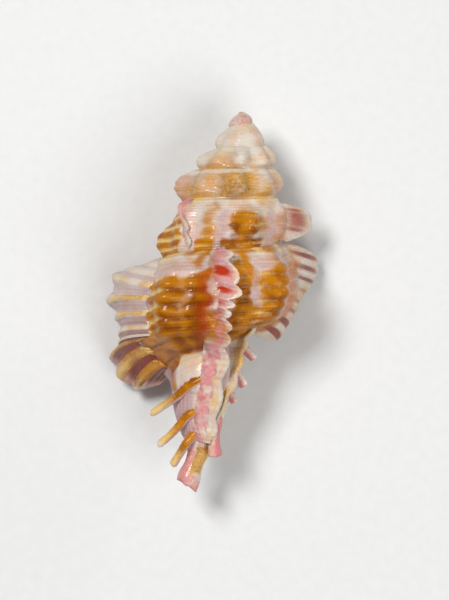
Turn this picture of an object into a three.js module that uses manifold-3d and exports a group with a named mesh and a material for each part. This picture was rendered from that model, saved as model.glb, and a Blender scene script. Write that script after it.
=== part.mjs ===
// A dextral murex shell with three varices to a whorl, lying on its opening side. Millimetres.
// The long axis runs along Y with the apex at +Y, and the back of the shell faces +Z.

import * as THREE from "three";
import { mergeVertices } from "three/addons/utils/BufferGeometryUtils.js";
import Module from "manifold-3d";

const wasm = await Module();
wasm.setup();

// The shell grows by turns: turn 1 leaves the apex, turn 6 passes the middle of the back,
// and the growing lip stands at turn 6 1/3. Depths are measured down the axis from the apex.
const lipTurn = 6 + 1 / 3;
const backTurn = 6;

// At each whole turn: depth and radius of the suture above the whorl, and the whorl's own bulge
const sutureDepth = [0, 0, 1.5, 4.1, 6.6, 10.1, 16.3, 24.8, 37];
const sutureRadius = [0, 0, 1.4, 2.6, 3.9, 5.15, 6.3, 8.0, 9.8];
const whorlBulge = [0.3, 0.5, 0.3, 0.25, 0.35, 0.6, 1.4, 1.7, 1.9];

// The apex is a smooth dome of this radius and height
const apexDome = { radius: 0.85, height: 1 };

// How round the whorls bulge, and how much lower the bulge sits on the early whorls, between these turns
const bulgeRound = 0.8;
const highestBulge = 0.8;
const earlyLowering = { by: 0.7, start: [1.8, 2.4], end: [3.3, 4.3] };

// Pillar and canal below the body whorl: [depth, radius], and where the axis bends: [depth, to the right]
const coreRadius = [[0, 2.2], [20, 2.3], [26, 2.9], [31, 4.1], [34, 3.4], [37.5, 2.3], [39.8, 1.35],
  [41.5, 1.15], [44, 1.4], [45, 1.3]];
const axisBend = [[0, 0], [1.5, 0.2], [3, 0.6], [5, 0.5], [8, 0.15], [12, 0], [28, 0], [35, -0.55],
  [38, -0.3], [39.8, 0], [42, -0.45], [44, -0.85], [45, -0.95]];
const contractionLength = 3.9;
const joinDepth = 33.4;

// The canal's open end is cut on a slant, longer on the right, and is ragged
const canalEnd = 45.07;
const tipSlant = 0.62;
const tipTeeth = { count: 5, height: 0.16, turned: 0.8 };
const tipStart = 40.5;

// Mesh steps, with a row on each spiral cord of the whorls and one between each two
const columnsPerTurn = 36;
const whorlShares = [0, 0.12, 0.27, 0.355, 0.44, 0.535, 0.63, 0.725, 0.82, 0.91, 1];
const contractionRows = 4;
const pillarRows = 2;
const canalRows = 10;

// Spiral cords: [share of the whorl's height, cords counted down to there], and their height by radius
const cordCount = [[0, -1.6], [0.12, -0.6], [0.27, 0], [0.44, 1], [0.63, 2], [0.82, 3], [0.97, 4], [1.1, 5],
  [1.23, 6], [1.38, 7], [1.6, 8]];
const cordHeight = 0.036;
const cordRound = 0.56;

// Where the cords show: the shares of the whorl and of its base where they fade in and out, the turns where
// they start to run on over the base, and the turns over which they grow up
const cordsShown = { below: [0.08, 0.3], above: [0.86, 0.98], onBase: [0.35, 1], lastWhorl: [5.33, 5.42],
  growing: [4.2, 5.6], youngShare: 0.55, plainShare: 0.7, ribGain: 0.5, ribLimit: 1.5 };

// Ribs of the early whorls, evenly spaced and uneven in height
const earlyRibs = { from: 2.25, to: 4.63, step: 0.125, height: 0.28, middle: 0.46, half: 0.56, width: 0.062,
  lean: 0.02, uneven: 0.3, pace: 2.4 };

// Each rib and varix ridge of the later whorls: [turn, height, middle, half height], the last two as
// shares of the whorl's height; a negative height is a dip
const ribHalfWidth = 0.05;
const lateRibs = [[4.94, 1.8, 0.52, 0.36], [5.04, 0.5, 0.5, 0.4], [5.24, -0.8, 0.27, 0.22],
  [5.245, 0.95, 0.74, 0.34], [5.34, 0.9, 0.6, 0.4], [5.53, 0.8, 0.55, 0.6], [5.63, 0.8, 0.55, 0.6],
  [5.86, 1.5, 0.55, 0.65], [6.11, 1.5, 0.65, 0.75], [6.22, 0.5, 0.6, 0.7]];
const varixRidges = [[4.45, 0.9, 0.5, 0.6], [4.79, 0.8, 0.5, 0.5], [5.14, 0.7, 0.5, 0.6],
  [5.43, 0.4, 0.5, 0.6], [5.72, 1, 0.6, 0.9], [6, 1, 0.6, 0.9], [6.31, 1.1, 0.6, 1]];

// The underside of the body whorl beside the opening is flatter: its middle turn, half width and share
const flatUnderside = { turn: 5.5, half: 0.24, share: 0.13 };

// Frilled fans on the varices. Each line: depth at the base, depth at the tip, tip radius, tip angle.
// Each cord: share of the way down the fan, and how far its tip folds back. Backing and facing say how far
// the fan's foot spreads over the whorl behind it and before it, and edge how thick its rim is, each as
// [share of the way down, millimetres]; rooted is the foot's radius as a share of the whorl's, and notch
// how much shorter the webs are than the cords.
const plainFoot = [[0, 0.9], [1, 0.9]];
const plainEdge = [[0, 0.5], [1, 0.5]];
const lipFan = {
  turn: 6.325,
  lines: [[17.5, 17.6, 7.8, 210], [18.9, 18.7, 9.7, 213], [20.1, 19.6, 12.3, 212], [21.5, 20.9, 14.6, 211],
    [23, 23.9, 14.9, 212], [24.7, 26, 13.5, 213], [26.4, 28, 12.8, 214], [27.3, 29.4, 12.9, 214],
    [28, 30.8, 13.2, 214], [29, 32.7, 11.5, 215], [30.3, 33.9, 9.1, 215], [31.6, 33, 6.2, 214]],
  cords: [[0.1, 0.4], [0.18, 0.7], [0.27, 0.7], [0.364, 0.9], [0.455, 0.9], [0.54, 0.9], [0.71, 1.5],
    [0.82, 1.5], [0.915, 0.8]],
  backing: [[0, 2.5], [0.12, 7], [0.3, 9], [0.6, 9], [0.75, 7], [0.88, 4.5], [1, 1.5]],
  facing: plainFoot,
  edge: plainEdge,
  rooted: 1.01,
  notch: 0.05,
};
const backFan = {
  turn: 6.015,
  lines: [[16.1, 15.9, 7.2, 90], [16.8, 16.6, 9.8, 88], [18.2, 18.4, 10.6, 84], [20, 20.6, 10.9, 79],
    [21.6, 22.3, 10.5, 82], [23, 23.6, 10.1, 83], [24.8, 25.4, 9.2, 80], [26.9, 27.3, 7.4, 78],
    [29.4, 29.8, 5.5, 72], [32.8, 33.2, 4.6, 62], [36.5, 36.9, 3.6, 56], [38.5, 38.9, 3.1, 61]],
  cords: [[0.09, 0.7], [0.2, 0.6], [0.3, 0.7], [0.385, 0.6], [0.455, 0.4], [0.53, 0.3], [0.61, 0.3],
    [0.71, 0.4], [0.83, 0.12], [0.93, 0.12]],
  backing: plainFoot,
  facing: [[0, 1.2], [0.2, 1.8], [0.5, 1.8], [0.75, 0.9], [1, 0.5]],
  edge: [[0, 0.5], [0.35, 0.5], [0.5, 0.7], [0.7, 1], [0.9, 1.1], [1, 0.9]],
  rooted: 0.9,
  notch: 0.08,
};
const rightFan = {
  turn: 5.725,
  lines: [[14.2, 14.5, 8.9, -18], [14.8, 15.2, 11.7, -23], [15.7, 16.4, 12.7, -26], [17.2, 18, 13, -28],
    [18.6, 19.4, 12.6, -31], [20.2, 21.3, 11.7, -34], [21.6, 22.9, 11.3, -34], [23, 24.6, 10.3, -32],
    [24.4, 26.2, 8.9, -31], [25.4, 26, 6.8, -28]],
  cords: [[0.18, 0.8], [0.295, 0.8], [0.395, 0.8], [0.49, 0.6], [0.57, 0.6], [0.66, 0.8], [0.765, 1],
    [0.85, 0.9]],
  backing: plainFoot,
  facing: [[0, 2], [1, 2]],
  edge: plainEdge,
  rooted: 0.78,
  notch: 0.1,
};
const upperRightFan = {
  turn: 4.79,
  lines: [[10, 10, 6.6, 6], [10.4, 10.2, 8.2, -4], [11.1, 11, 9.7, -11], [12.1, 12.3, 9.9, -11],
    [13.2, 13.5, 8.9, -7], [14.1, 14.4, 7.4, 2]],
  cords: [[0.3, 0.2], [0.5, 0.2], [0.7, 0.2]],
  backing: plainFoot,
  facing: plainFoot,
  edge: plainEdge,
  rooted: 0.78,
  notch: 0.06,
};
const upperLeftFan = {
  turn: 5.15,
  lines: [[11, 10.9, 6.4, 142], [12, 12, 7.8, 144], [13.2, 13.5, 7.7, 134], [14.4, 14.8, 7.5, 129],
    [15.8, 16.1, 7.1, 127], [17, 17.2, 6.6, 126]],
  cords: [[0.2, 0.5], [0.48, 0.3], [0.75, 0.2]],
  backing: plainFoot,
  facing: plainFoot,
  edge: [[0, 0.7], [1, 0.7]],
  rooted: 0.78,
  notch: 0.07,
};
const sideRidge = {
  turn: 5.87,
  lines: [[24.5, 24.5, 7.6, 52], [26, 26.2, 6, 50], [28, 28.2, 5.2, 45], [31, 31.2, 4.9, 45],
    [34, 34.3, 4.1, 48], [37, 37.3, 3.2, 52]],
  cords: [[0.1, 0.25], [0.28, 0.3], [0.46, 0.3], [0.64, 0.3], [0.82, 0.25]],
  backing: plainFoot,
  facing: plainFoot,
  edge: [[0, 0.8], [1, 0.7]],
  rooted: 0.78,
  notch: 0.07,
};

// How every fan is shaped: its buried foot, the curl of its leaf, where a cord's fold is complete, how thick
// its webs are, how fast its foot thins, and the places of its mesh lines on the way out
const fanShape = { sunk: 0.9, curl: 1.4, foldTo: 0.85, web: 0.8, backFall: 1.2, faceFall: 1.5,
  deepestFace: 0.9, outs: [0, 0, 0.25, 0.5, 0.75, 1] };

// Spines: points as [across to the right, depth, height above the axis], then the radius from root to tip
const spines = [
  { radius: [0.8, 0.58], path: [[0.6, 31.4, 3.7], [-0.5, 31.5, 3.85], [-1.5, 32.2, 3.5], [-3, 33.8, 2.6],
    [-4.4, 35.1, 2.1], [-6, 36.5, 1.6]] },
  { radius: [0.75, 0.58], path: [[0.6, 35.3, 2.5], [-0.5, 35.2, 2.8], [-1.4, 35.8, 2.6], [-2.4, 37.2, 2.1],
    [-3.4, 38.6, 1.7], [-4.7, 40, 1.3]] },
  { radius: [0.75, 0.62], path: [[0.5, 37.9, 1.8], [-0.5, 38, 2], [-1.2, 39, 1.8], [-2, 40.6, 1.5],
    [-2.7, 42.1, 1.2]] },
  { radius: [0.7, 0.6], path: [[2.8, 26.9, 1.6], [4.1, 27.8, 1.4], [5, 28.5, 1.2]] },
  { radius: [0.7, 0.6], path: [[2.2, 29.3, 1.8], [3.1, 30.4, 1.5], [4.3, 31.8, 1.2]] },
  { radius: [0.55, 0.45], path: [[2.2, 32.6, 1.6], [3, 33.3, 1.4], [3.4, 33.8, 1.2]] },
  { radius: [0.75, 1], path: [[1.4, 35.5, 1.9], [1.7, 37, 1.8], [1.8, 38.5, 1.7], [2.2, 40.3, 1.5]] },
];

// Hollow of the opening, and the slit along the underside of the canal
const hollow = { turns: 0.44, mouth: 0.05, centreRadius: 5.7, centreDepth: 25.1, halfWidth: 3.5,
  halfHeight: 4.6, rise: 8, draw: 3.3, taper: 1.08, end: 0.04, roundness: 0.4 };
const slit = { depths: [27, 35, 38, 40, 42, 44, 46], width: 0.7, floor: -0.2, bottom: -8 };

const shellColour = 0xd9b36a;

// The value at a place in a table of [place, value] points, on straight lines between them
function along(points, place) {
  const last = points.length - 2;
  let i = points.findIndex((point, n) => n <= last && place < points[n + 1][0]);
  if (i < 0) i = last;
  const span = points[i + 1][0] - points[i][0];
  const share = Math.min(Math.max((place - points[i][0]) / span, 0), 1);
  return points[i][1] + (points[i + 1][1] - points[i][1]) * share;
}

// A value at a turn between the whole turns of a table, on a Catmull-Rom curve
function grown(table, turn) {
  const i = Math.min(Math.max(Math.floor(turn), 0), table.length - 2);
  const at = (n) => table[Math.min(Math.max(n, 0), table.length - 1)];
  const t = turn - i;
  const [a, b, c, d] = [at(i - 1), at(i), at(i + 1), at(i + 2)];
  const value = b + 0.5 * t * (c - a + t * (2 * a - 5 * b + 4 * c - d + t * (3 * (b - c) + d - a)));
  return i === 0 ? b + (c - b) * t : Math.max(value, 0);
}

function smooth(low, high, value) {
  const t = Math.min(Math.max((value - low) / (high - low), 0), 1);
  return t * t * (3 - 2 * t);
}

function angleOf(turn) {
  return Math.PI / 2 + 2 * Math.PI * (turn - backTurn);
}

function suture(turn) {
  return turn <= 1 ? 0 : grown(sutureDepth, turn);
}

function sutureSize(turn) {
  return turn <= 1 ? 0 : grown(sutureRadius, turn);
}

// A share from 0 at the suture above to 1 at the suture below, and past 1 on the base
function shareOf(turn, depth) {
  const span = suture(turn + 1) - suture(turn);
  return span > 0 ? (depth - suture(turn)) / span : 0;
}

// A rounded hump, 1 at its middle and 0 from one half width away
function hump(offset, halfWidth) {
  const share = Math.abs(offset) / halfWidth;
  return share < 1 ? Math.cos((share * Math.PI) / 2) ** 2 : 0;
}

function ribsHeight(turn, share) {
  const { from, to, step, height, middle, half, width, lean, uneven, pace } = earlyRibs;
  let total = 0;
  for (let number = 0; from + number * step < to; number += 1) {
    const rib = from + number * step;
    const size = height * sutureSize(rib + 0.5) * (0.85 + uneven * Math.sin(number * pace));
    total += size * hump(turn - rib + lean * (share - 0.5), width) * Math.sqrt(hump(share - middle, half));
  }
  for (const [rib, ribHeight, ribMiddle, ribHalf] of [...lateRibs, ...varixRidges]) {
    total += ribHeight * hump(turn - rib, ribHalfWidth) * Math.sqrt(hump(share - ribMiddle, ribHalf));
  }
  return total;
}

// How far the spiral cords stand up: more on the ribs and on the later whorls, none at the suture above
function cordsHeight(turn, share, radius, fall, ribs) {
  const { below, above, onBase, lastWhorl, youngShare, plainShare, ribGain, ribLimit } = cordsShown;
  const ending = smooth(...above, share) * (1 - smooth(...lastWhorl, turn));
  const fading = smooth(...below, share) * (1 - ending) * (1 - smooth(...onBase, fall));
  const crest = (0.5 + 0.5 * Math.cos(2 * Math.PI * along(cordCount, share))) ** cordRound;
  const onRib = plainShare + ribGain * Math.min(Math.max(ribs, 0), ribLimit);
  const size = youngShare + (1 - youngShare) * smooth(...cordsShown.growing, turn);
  return cordHeight * radius * crest * onRib * size * fading;
}

// Radius of the shell's surface, from the axis, at a turn and a depth on that whorl
function surfaceRadius(turn, depth) {
  const share = shareOf(turn, depth);
  const core = along(coreRadius, depth);
  const below = suture(turn + 1);
  const fall = Math.min(Math.max((depth - below) / contractionLength, 0), 1);
  let radius;
  if (share <= 1) {
    const chord = sutureSize(turn) * (1 - share) + sutureSize(turn + 1) * share;
    const early = smooth(...earlyLowering.start, turn) - smooth(...earlyLowering.end, turn);
    const low = highestBulge + earlyLowering.by * early;
    radius = chord + grown(whorlBulge, turn) * Math.sin(Math.PI * Math.max(share, 0) ** low) ** bulgeRound;
  } else {
    const drop = Math.max(sutureSize(turn + 1) - along(coreRadius, below), 0);
    radius = core + drop * (0.5 + 0.5 * Math.cos(Math.PI * fall));
  }
  if (depth < apexDome.height) {
    const dome = apexDome.radius * Math.sqrt(1 - (1 - depth / apexDome.height) ** 2);
    radius = Math.max(radius, dome);
  }
  const ribs = ribsHeight(turn, share);
  const flat = 1 - flatUnderside.share * hump(turn - flatUnderside.turn, flatUnderside.half);
  return (radius + ribs + cordsHeight(turn, share, radius, fall, ribs)) * flat;
}

// The depth to which a point of the canal is cut back
function ragged(depth, angle) {
  const { count, height, turned } = tipTeeth;
  const cut = tipSlant * (1 - Math.cos(angle)) + height * (1 + Math.cos(count * angle + turned));
  return depth - cut * smooth(tipStart, canalEnd, depth);
}

function place(turn, depth, radius) {
  const angle = angleOf(turn);
  return [along(axisBend, depth) + radius * Math.cos(angle), -depth, radius * Math.sin(angle)];
}

// A solid from vertices and triangles, turned to face out
function solidFrom(vertices, triangles) {
  const geometry = new THREE.BufferGeometry();
  geometry.setAttribute("position", new THREE.Float32BufferAttribute(vertices.flat(), 3));
  geometry.setIndex(triangles.flat());
  const merged = mergeVertices(geometry, 1e-4);
  const index = merged.index.array;
  const kept = [];
  for (let i = 0; i < index.length; i += 3) {
    const [a, b, c] = [index[i], index[i + 1], index[i + 2]];
    if (a !== b && b !== c && a !== c) kept.push([a, b, c]);
  }
  const position = merged.attributes.position;
  const corner = (n) => new THREE.Vector3().fromBufferAttribute(position, n);
  const volume = kept.reduce((sum, [a, b, c]) => sum + corner(a).dot(corner(b).cross(corner(c))), 0);
  const outward = volume < 0 ? kept.map(([a, b, c]) => [a, c, b]) : kept;
  return new wasm.Manifold(new wasm.Mesh({
    numProp: 3,
    vertProperties: new Float32Array(position.array),
    triVerts: new Uint32Array(outward.flat()),
  }));
}

// The whorls as one spiral strip, the base and canal below the last one, and the wall at the lip
function shellBody() {
  const vertices = [];
  const triangles = [];
  const columns = Math.round(lipTurn * columnsPerTurn);
  const firstBase = columns - columnsPerTurn;
  const add = (point) => vertices.push(point) - 1;
  const quad = (a, b, c, d) => triangles.push([a, b, c], [a, c, d]);
  const turnOf = (column) => column / columnsPerTurn;

  const rims = [];
  for (let column = 0; column <= columns + columnsPerTurn; column += 1) {
    const turn = turnOf(column);
    rims.push(add(place(turn, suture(turn), turn <= 1 ? 0 : surfaceRadius(turn, suture(turn)))));
  }
  const whorl = [];
  for (let column = 0; column <= columns; column += 1) {
    const turn = turnOf(column);
    const line = [rims[column]];
    for (const share of whorlShares.slice(1, -1)) {
      const depth = suture(turn) + (suture(turn + 1) - suture(turn)) * share;
      line.push(add(place(turn, depth, turn > 0 ? surfaceRadius(turn, depth) : 0)));
    }
    line.push(rims[column + columnsPerTurn]);
    whorl.push(line);
  }
  const base = [];
  for (let column = firstBase; column <= columns; column += 1) {
    const turn = turnOf(column);
    const top = suture(turn + 1);
    const line = [rims[column + columnsPerTurn]];
    for (let row = 1; row <= contractionRows; row += 1) {
      const depth = top + (contractionLength * row) / contractionRows;
      line.push(add(place(turn, depth, surfaceRadius(turn, depth))));
    }
    const rest = joinDepth - top - contractionLength;
    for (let row = 1; row < pillarRows; row += 1) {
      const depth = top + contractionLength + (rest * row) / pillarRows;
      line.push(add(place(turn, depth, surfaceRadius(turn, depth))));
    }
    base.push(line);
  }
  const canal = [];
  const rim = new THREE.Vector3();
  for (let column = firstBase; column < columns; column += 1) {
    const turn = turnOf(column);
    const line = [];
    for (let row = 0; row <= canalRows; row += 1) {
      const depth = joinDepth + ((canalEnd - joinDepth) * row) / canalRows;
      line.push(add(place(turn, ragged(depth, angleOf(turn)), along(coreRadius, depth))));
    }
    rim.add(new THREE.Vector3(...vertices[line[canalRows]]));
    canal.push(line);
  }
  const tip = add(rim.divideScalar(columnsPerTurn).toArray());
  canal.forEach((line) => line.push(tip));
  canal.push(canal[0]);

  for (let column = 0; column < columns; column += 1) {
    for (let row = 0; row + 1 < whorlShares.length; row += 1) {
      quad(whorl[column][row], whorl[column][row + 1], whorl[column + 1][row + 1], whorl[column + 1][row]);
    }
  }
  for (let column = 0; column < columnsPerTurn; column += 1) {
    const left = [...base[column], ...canal[column]];
    const right = [...base[column + 1], ...canal[column + 1]];
    for (let row = 0; row + 1 < left.length; row += 1) {
      quad(left[row], left[row + 1], right[row + 1], right[row]);
    }
  }
  // The flat wall at the lip, between the last line of the body whorl and the pillar behind it
  const outer = [...whorl[columns], ...base[columnsPerTurn].slice(1), canal[0][0]];
  const inner = [...base[0], canal[0][0]];
  let [i, j] = [0, 0];
  while (i + 1 < outer.length || j + 1 < inner.length) {
    const outerNext = i + 1 < outer.length ? -vertices[outer[i + 1]][1] : Infinity;
    const innerNext = j + 1 < inner.length ? -vertices[inner[j + 1]][1] : Infinity;
    if (outerNext <= innerNext) {
      triangles.push([outer[i], outer[i + 1], inner[j]]);
      i += 1;
    } else {
      triangles.push([outer[i], inner[j + 1], inner[j]]);
      j += 1;
    }
  }
  return solidFrom(vertices, triangles);
}

// A fan: a leaf from the varix out to its frilled edge, with folded cords and shorter webs between them
function fanSolid({ turn, lines, cords, backing, facing, edge, rooted, notch }) {
  const { sunk, curl, foldTo, web, backFall, faceFall, deepestFace, outs } = fanShape;
  const shares = [0];
  const folds = [0];
  cords.forEach(([share, fold], i) => {
    shares.push(share, i + 1 < cords.length ? (share + cords[i + 1][0]) / 2 : 1);
    folds.push(fold, 0);
  });
  const column = (n) => lines.map((line, i) => [i / (lines.length - 1), line[n]]);
  const baseAngle = THREE.MathUtils.euclideanModulo(angleOf(turn), 2 * Math.PI);
  const vertices = [];
  const triangles = [];
  for (const side of [-1, 1]) {
    shares.forEach((share, row) => {
      const isEnd = row === 0 || row === shares.length - 1;
      const isCord = row % 2 === 1;
      const [from, to, reach, lean] = [0, 1, 2, 3].map((n) => along(column(n), share));
      const foot = along(side < 0 ? backing : facing, share);
      const footTurn = side < 0 ? turn - foot / surfaceRadius(turn, from) / (2 * Math.PI) : turn;
      const root = surfaceRadius(footTurn, from) * (side < 0 ? rooted : Math.min(rooted, deepestFace));
      const tip = isCord ? reach : root + (reach - root) * (1 - notch);
      const turned = THREE.MathUtils.degToRad(lean) - baseAngle;
      const swing = Math.atan2(Math.sin(turned), Math.cos(turned));
      const rim = (along(edge, share) / 2) * (isCord ? 1 : web);
      const fall = side < 0 ? backFall : faceFall;
      outs.forEach((out, step) => {
        const depth = from + (to - from) * out;
        const radius = root + (tip - root) * out;
        const thick = rim + (isEnd ? 0 : Math.max(foot - rim, 0) * (1 - out) ** fall);
        const folded = (folds[row] * smooth(0, foldTo, out)) / reach;
        const angle = baseAngle + swing * out ** curl - folded + (side * thick) / radius;
        const placed = step === 0 ? radius * sunk : radius;
        vertices.push([along(axisBend, depth) + placed * Math.cos(angle), -depth, placed * Math.sin(angle)]);
      });
    });
  }
  const [rows, steps] = [shares.length - 1, outs.length - 1];
  const at = (side, row, step) => (side * (rows + 1) + row) * (steps + 1) + step;
  const quad = (a, b, c, d) => triangles.push([a, b, c], [a, c, d]);
  for (let row = 0; row < rows; row += 1) {
    for (let step = 0; step < steps; step += 1) {
      quad(at(0, row, step), at(0, row, step + 1), at(0, row + 1, step + 1), at(0, row + 1, step));
      quad(at(1, row, step), at(1, row + 1, step), at(1, row + 1, step + 1), at(1, row, step + 1));
    }
    quad(at(0, row, 0), at(0, row + 1, 0), at(1, row + 1, 0), at(1, row, 0));
    quad(at(0, row, steps), at(1, row, steps), at(1, row + 1, steps), at(0, row + 1, steps));
  }
  for (let step = 0; step < steps; step += 1) {
    quad(at(0, 0, step), at(1, 0, step), at(1, 0, step + 1), at(0, 0, step + 1));
    quad(at(0, rows, step), at(0, rows, step + 1), at(1, rows, step + 1), at(1, rows, step));
  }
  return solidFrom(vertices, triangles);
}

// Rings of points joined into a closed tube, with a flat cap at each end
function tubeSolid(rings) {
  const vertices = rings.flat();
  const sides = rings[0].length;
  const triangles = [];
  for (let ring = 0; ring + 1 < rings.length; ring += 1) {
    for (let side = 0; side < sides; side += 1) {
      const [a, b] = [ring * sides + side, ring * sides + ((side + 1) % sides)];
      triangles.push([a, b, b + sides], [a, b + sides, a + sides]);
    }
  }
  const last = (rings.length - 1) * sides;
  for (let side = 1; side + 1 < sides; side += 1) {
    triangles.push([0, side + 1, side], [last, last + side, last + side + 1]);
  }
  return solidFrom(vertices, triangles);
}

function spineSolid({ path, radius }) {
  const steps = 6;
  const sides = 6;
  const curve = new THREE.CatmullRomCurve3(path.map(([x, depth, z]) => new THREE.Vector3(x, -depth, z)));
  const frames = curve.computeFrenetFrames(steps);
  const rings = [];
  for (let step = 0; step <= steps; step += 1) {
    const centre = curve.getPointAt(step / steps);
    const size = radius[0] + ((radius[1] - radius[0]) * step) / steps;
    const ring = [];
    for (let side = 0; side < sides; side += 1) {
      const around = (2 * Math.PI * side) / sides;
      const point = centre.clone();
      point.addScaledVector(frames.normals[step], size * Math.cos(around));
      point.addScaledVector(frames.binormals[step], size * Math.sin(around));
      ring.push(point.toArray());
    }
    rings.push(ring);
  }
  return tubeSolid(rings);
}

// The hollow behind the lip: ovals that follow the body whorl back from the opening and shrink
function hollowSolid() {
  const steps = 7;
  const sides = 14;
  const rings = [];
  for (let step = 0; step <= steps; step += 1) {
    const back = -hollow.mouth + ((hollow.turns + hollow.mouth) * step) / steps;
    const size = Math.max(1 - back / (hollow.turns * hollow.taper), hollow.end) ** hollow.roundness;
    const angle = angleOf(lipTurn - back);
    const inside = Math.max(back, 0);
    const ring = [];
    for (let side = 0; side < sides; side += 1) {
      const around = (2 * Math.PI * side) / sides;
      const radius = hollow.centreRadius - hollow.draw * inside + hollow.halfWidth * size * Math.cos(around);
      const depth = hollow.centreDepth - hollow.rise * inside + hollow.halfHeight * size * Math.sin(around);
      ring.push([radius * Math.cos(angle), -depth, radius * Math.sin(angle)]);
    }
    rings.push(ring);
  }
  return tubeSolid(rings);
}

function slitSolid() {
  const rings = slit.depths.map((depth) => {
    const centre = along(axisBend, depth);
    const half = slit.width / 2;
    return [[centre - half, -depth, slit.floor], [centre + half, -depth, slit.floor],
      [centre + half, -depth, slit.bottom], [centre - half, -depth, slit.bottom]];
  });
  return tubeSolid(rings);
}

function shellSolid() {
  const fans = [lipFan, backFan, rightFan, upperRightFan, upperLeftFan, sideRidge];
  let solid = shellBody();
  for (const fan of fans) solid = solid.add(fanSolid(fan));
  for (const spine of spines) solid = solid.add(spineSolid(spine));
  return solid.subtract(hollowSolid()).subtract(slitSolid());
}

function geometryOf(solid) {
  const mesh = solid.getMesh();
  const geometry = new THREE.BufferGeometry();
  geometry.setAttribute("position", new THREE.Float32BufferAttribute(mesh.vertProperties, 3));
  geometry.setIndex(Array.from(mesh.triVerts));
  return geometry;
}

const geometry = geometryOf(shellSolid());
geometry.computeBoundingBox();
const box = geometry.boundingBox;
geometry.translate(-(box.min.x + box.max.x) / 2, -(box.min.y + box.max.y) / 2, -box.min.z);

const material = new THREE.MeshStandardMaterial({ color: shellColour, roughness: 0.45, metalness: 0 });
const shell = new THREE.Mesh(geometry, material);
shell.name = "shell";

const group = new THREE.Group();
group.add(shell);

export default group;
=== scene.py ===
"""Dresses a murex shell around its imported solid: fine whorls, frilled fans, spines and glossy colours.

Sizes are in millimetres, as they are measured along the shell, and MM turns them into metres.
A place on the shell is (to the right, depth below the apex, height above the axis).
A place along the growth is in turns, from 0 at the apex to 6 at the middle of the back.
"""
import logging
import math
from dataclasses import dataclass, field
from enum import Enum

import bpy
import numpy as np
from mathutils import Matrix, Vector, kdtree


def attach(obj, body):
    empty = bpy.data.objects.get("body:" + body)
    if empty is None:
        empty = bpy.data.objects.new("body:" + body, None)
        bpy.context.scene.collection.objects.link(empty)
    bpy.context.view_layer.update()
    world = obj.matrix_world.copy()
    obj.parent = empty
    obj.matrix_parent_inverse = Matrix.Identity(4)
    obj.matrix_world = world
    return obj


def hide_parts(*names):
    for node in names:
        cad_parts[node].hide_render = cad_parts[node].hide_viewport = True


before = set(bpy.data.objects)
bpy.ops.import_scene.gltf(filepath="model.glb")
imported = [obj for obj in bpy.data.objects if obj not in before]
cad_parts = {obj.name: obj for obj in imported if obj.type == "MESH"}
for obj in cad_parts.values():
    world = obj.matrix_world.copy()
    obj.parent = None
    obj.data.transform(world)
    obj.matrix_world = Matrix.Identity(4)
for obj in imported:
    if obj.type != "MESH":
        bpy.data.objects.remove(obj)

log = logging.getLogger("shell")

MM = 0.001
FULL = 2 * math.pi
AXIS_RIGHT = 1.01
AXIS_HEIGHT = 7.72
APEX_AT = 22.5
AXIS_PLACE = np.array([AXIS_RIGHT, APEX_AT, AXIS_HEIGHT])
LIP_TURN = 6 + 1 / 3
BACK_TURN = 6.0
SAME_PLACE_DIGITS = 5
TINY = 1e-9
RIPPLES = ((1.73, 0.9, 2.1), (0.61, -1.37, 0.6))
RIPPLE_SWAY = 1.7
RIPPLE_SWAYS = 5.1

Points = tuple[tuple[float, ...], ...]
Table = Points | float
Span = tuple[float, float]
Colour = tuple[float, float, float, float]


class Tint(Enum):
    """What is stored at each point of the shell for its finish. Brown, red and maroon hold some painted
    shade, and ridge a painted highlight on the crests of the fans' back cords.
    """

    AMBER = "amber"
    PINK = "pink"
    LILAC = "lilac"
    RED = "red"
    BROWN = "brown"
    MAROON = "maroon"
    RIDGE = "ridge"
    GROWTH = "growth"
    THREAD = "thread"
    PLAIN = "plain"


class Joining(Enum):
    """How a skin changes the shell."""

    ADD = "UNION"
    CUT = "DIFFERENCE"


Tints = dict[Tint, np.ndarray]


def smooth_curve(points: Table, place: np.ndarray) -> np.ndarray:
    """Follows a smooth curve through a few points, which adds no bumps between them.

    Args:
        points: pairs of place and value, in rising order of place, or one value for all places.
        place: where the curve is read.

    Returns:
        The curve's value at each place.
    """
    if isinstance(points, float):
        return np.full(np.shape(place), points)
    xs, ys = np.array(points, dtype=float).T
    steps = np.diff(xs)
    rises = np.diff(ys) / steps
    same_way = rises[:-1] * rises[1:] > 0
    total = np.where(same_way, rises[:-1] + rises[1:], 1.0)
    inner = np.where(same_way, 2 * rises[:-1] * rises[1:] / total, 0.0)
    slopes = np.concatenate(([rises[0]], inner, [rises[-1]]))
    spot = np.clip(place, xs[0], xs[-1])
    i = np.clip(np.searchsorted(xs, spot, side="right") - 1, 0, len(xs) - 2)
    t = (spot - xs[i]) / steps[i]
    start = (1 + 2 * t) * (1 - t) ** 2 * ys[i] + t * (1 - t) ** 2 * steps[i] * slopes[i]
    end = t * t * (3 - 2 * t) * ys[i + 1] + t * t * (t - 1) * steps[i] * slopes[i + 1]
    return start + end


def grown(table: tuple[float, ...], turn: np.ndarray) -> np.ndarray:
    """Reads a table of values at whole turns, on a smooth curve through all of them.

    Args:
        table: the value at turn 0, 1, 2 and so on.
        turn: where it is read.

    Returns:
        The value at each turn.
    """
    values = np.array(table, dtype=float)
    turn = np.asarray(turn, dtype=float)
    i = np.clip(np.floor(turn).astype(int), 0, len(values) - 2)
    before, low = values[np.maximum(i - 1, 0)], values[i]
    high, after = values[i + 1], values[np.minimum(i + 2, len(values) - 1)]
    t = turn - i
    bend = 2 * before - 5 * low + 4 * high - after + t * (3 * (low - high) + after - before)
    curved = low + 0.5 * t * (high - before + t * bend)
    return np.where(i == 0, low + (high - low) * t, np.maximum(curved, 0))


def ramp(span: Span, value: np.ndarray) -> np.ndarray:
    """Rises smoothly from 0 at the start of a span to 1 at its end.

    Args:
        span: where the rise starts and ends.
        value: where it is read.

    Returns:
        The height of the rise there.
    """
    low, high = span
    t = np.clip((value - low) / (high - low), 0, 1)
    return t * t * (3 - 2 * t)


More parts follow.
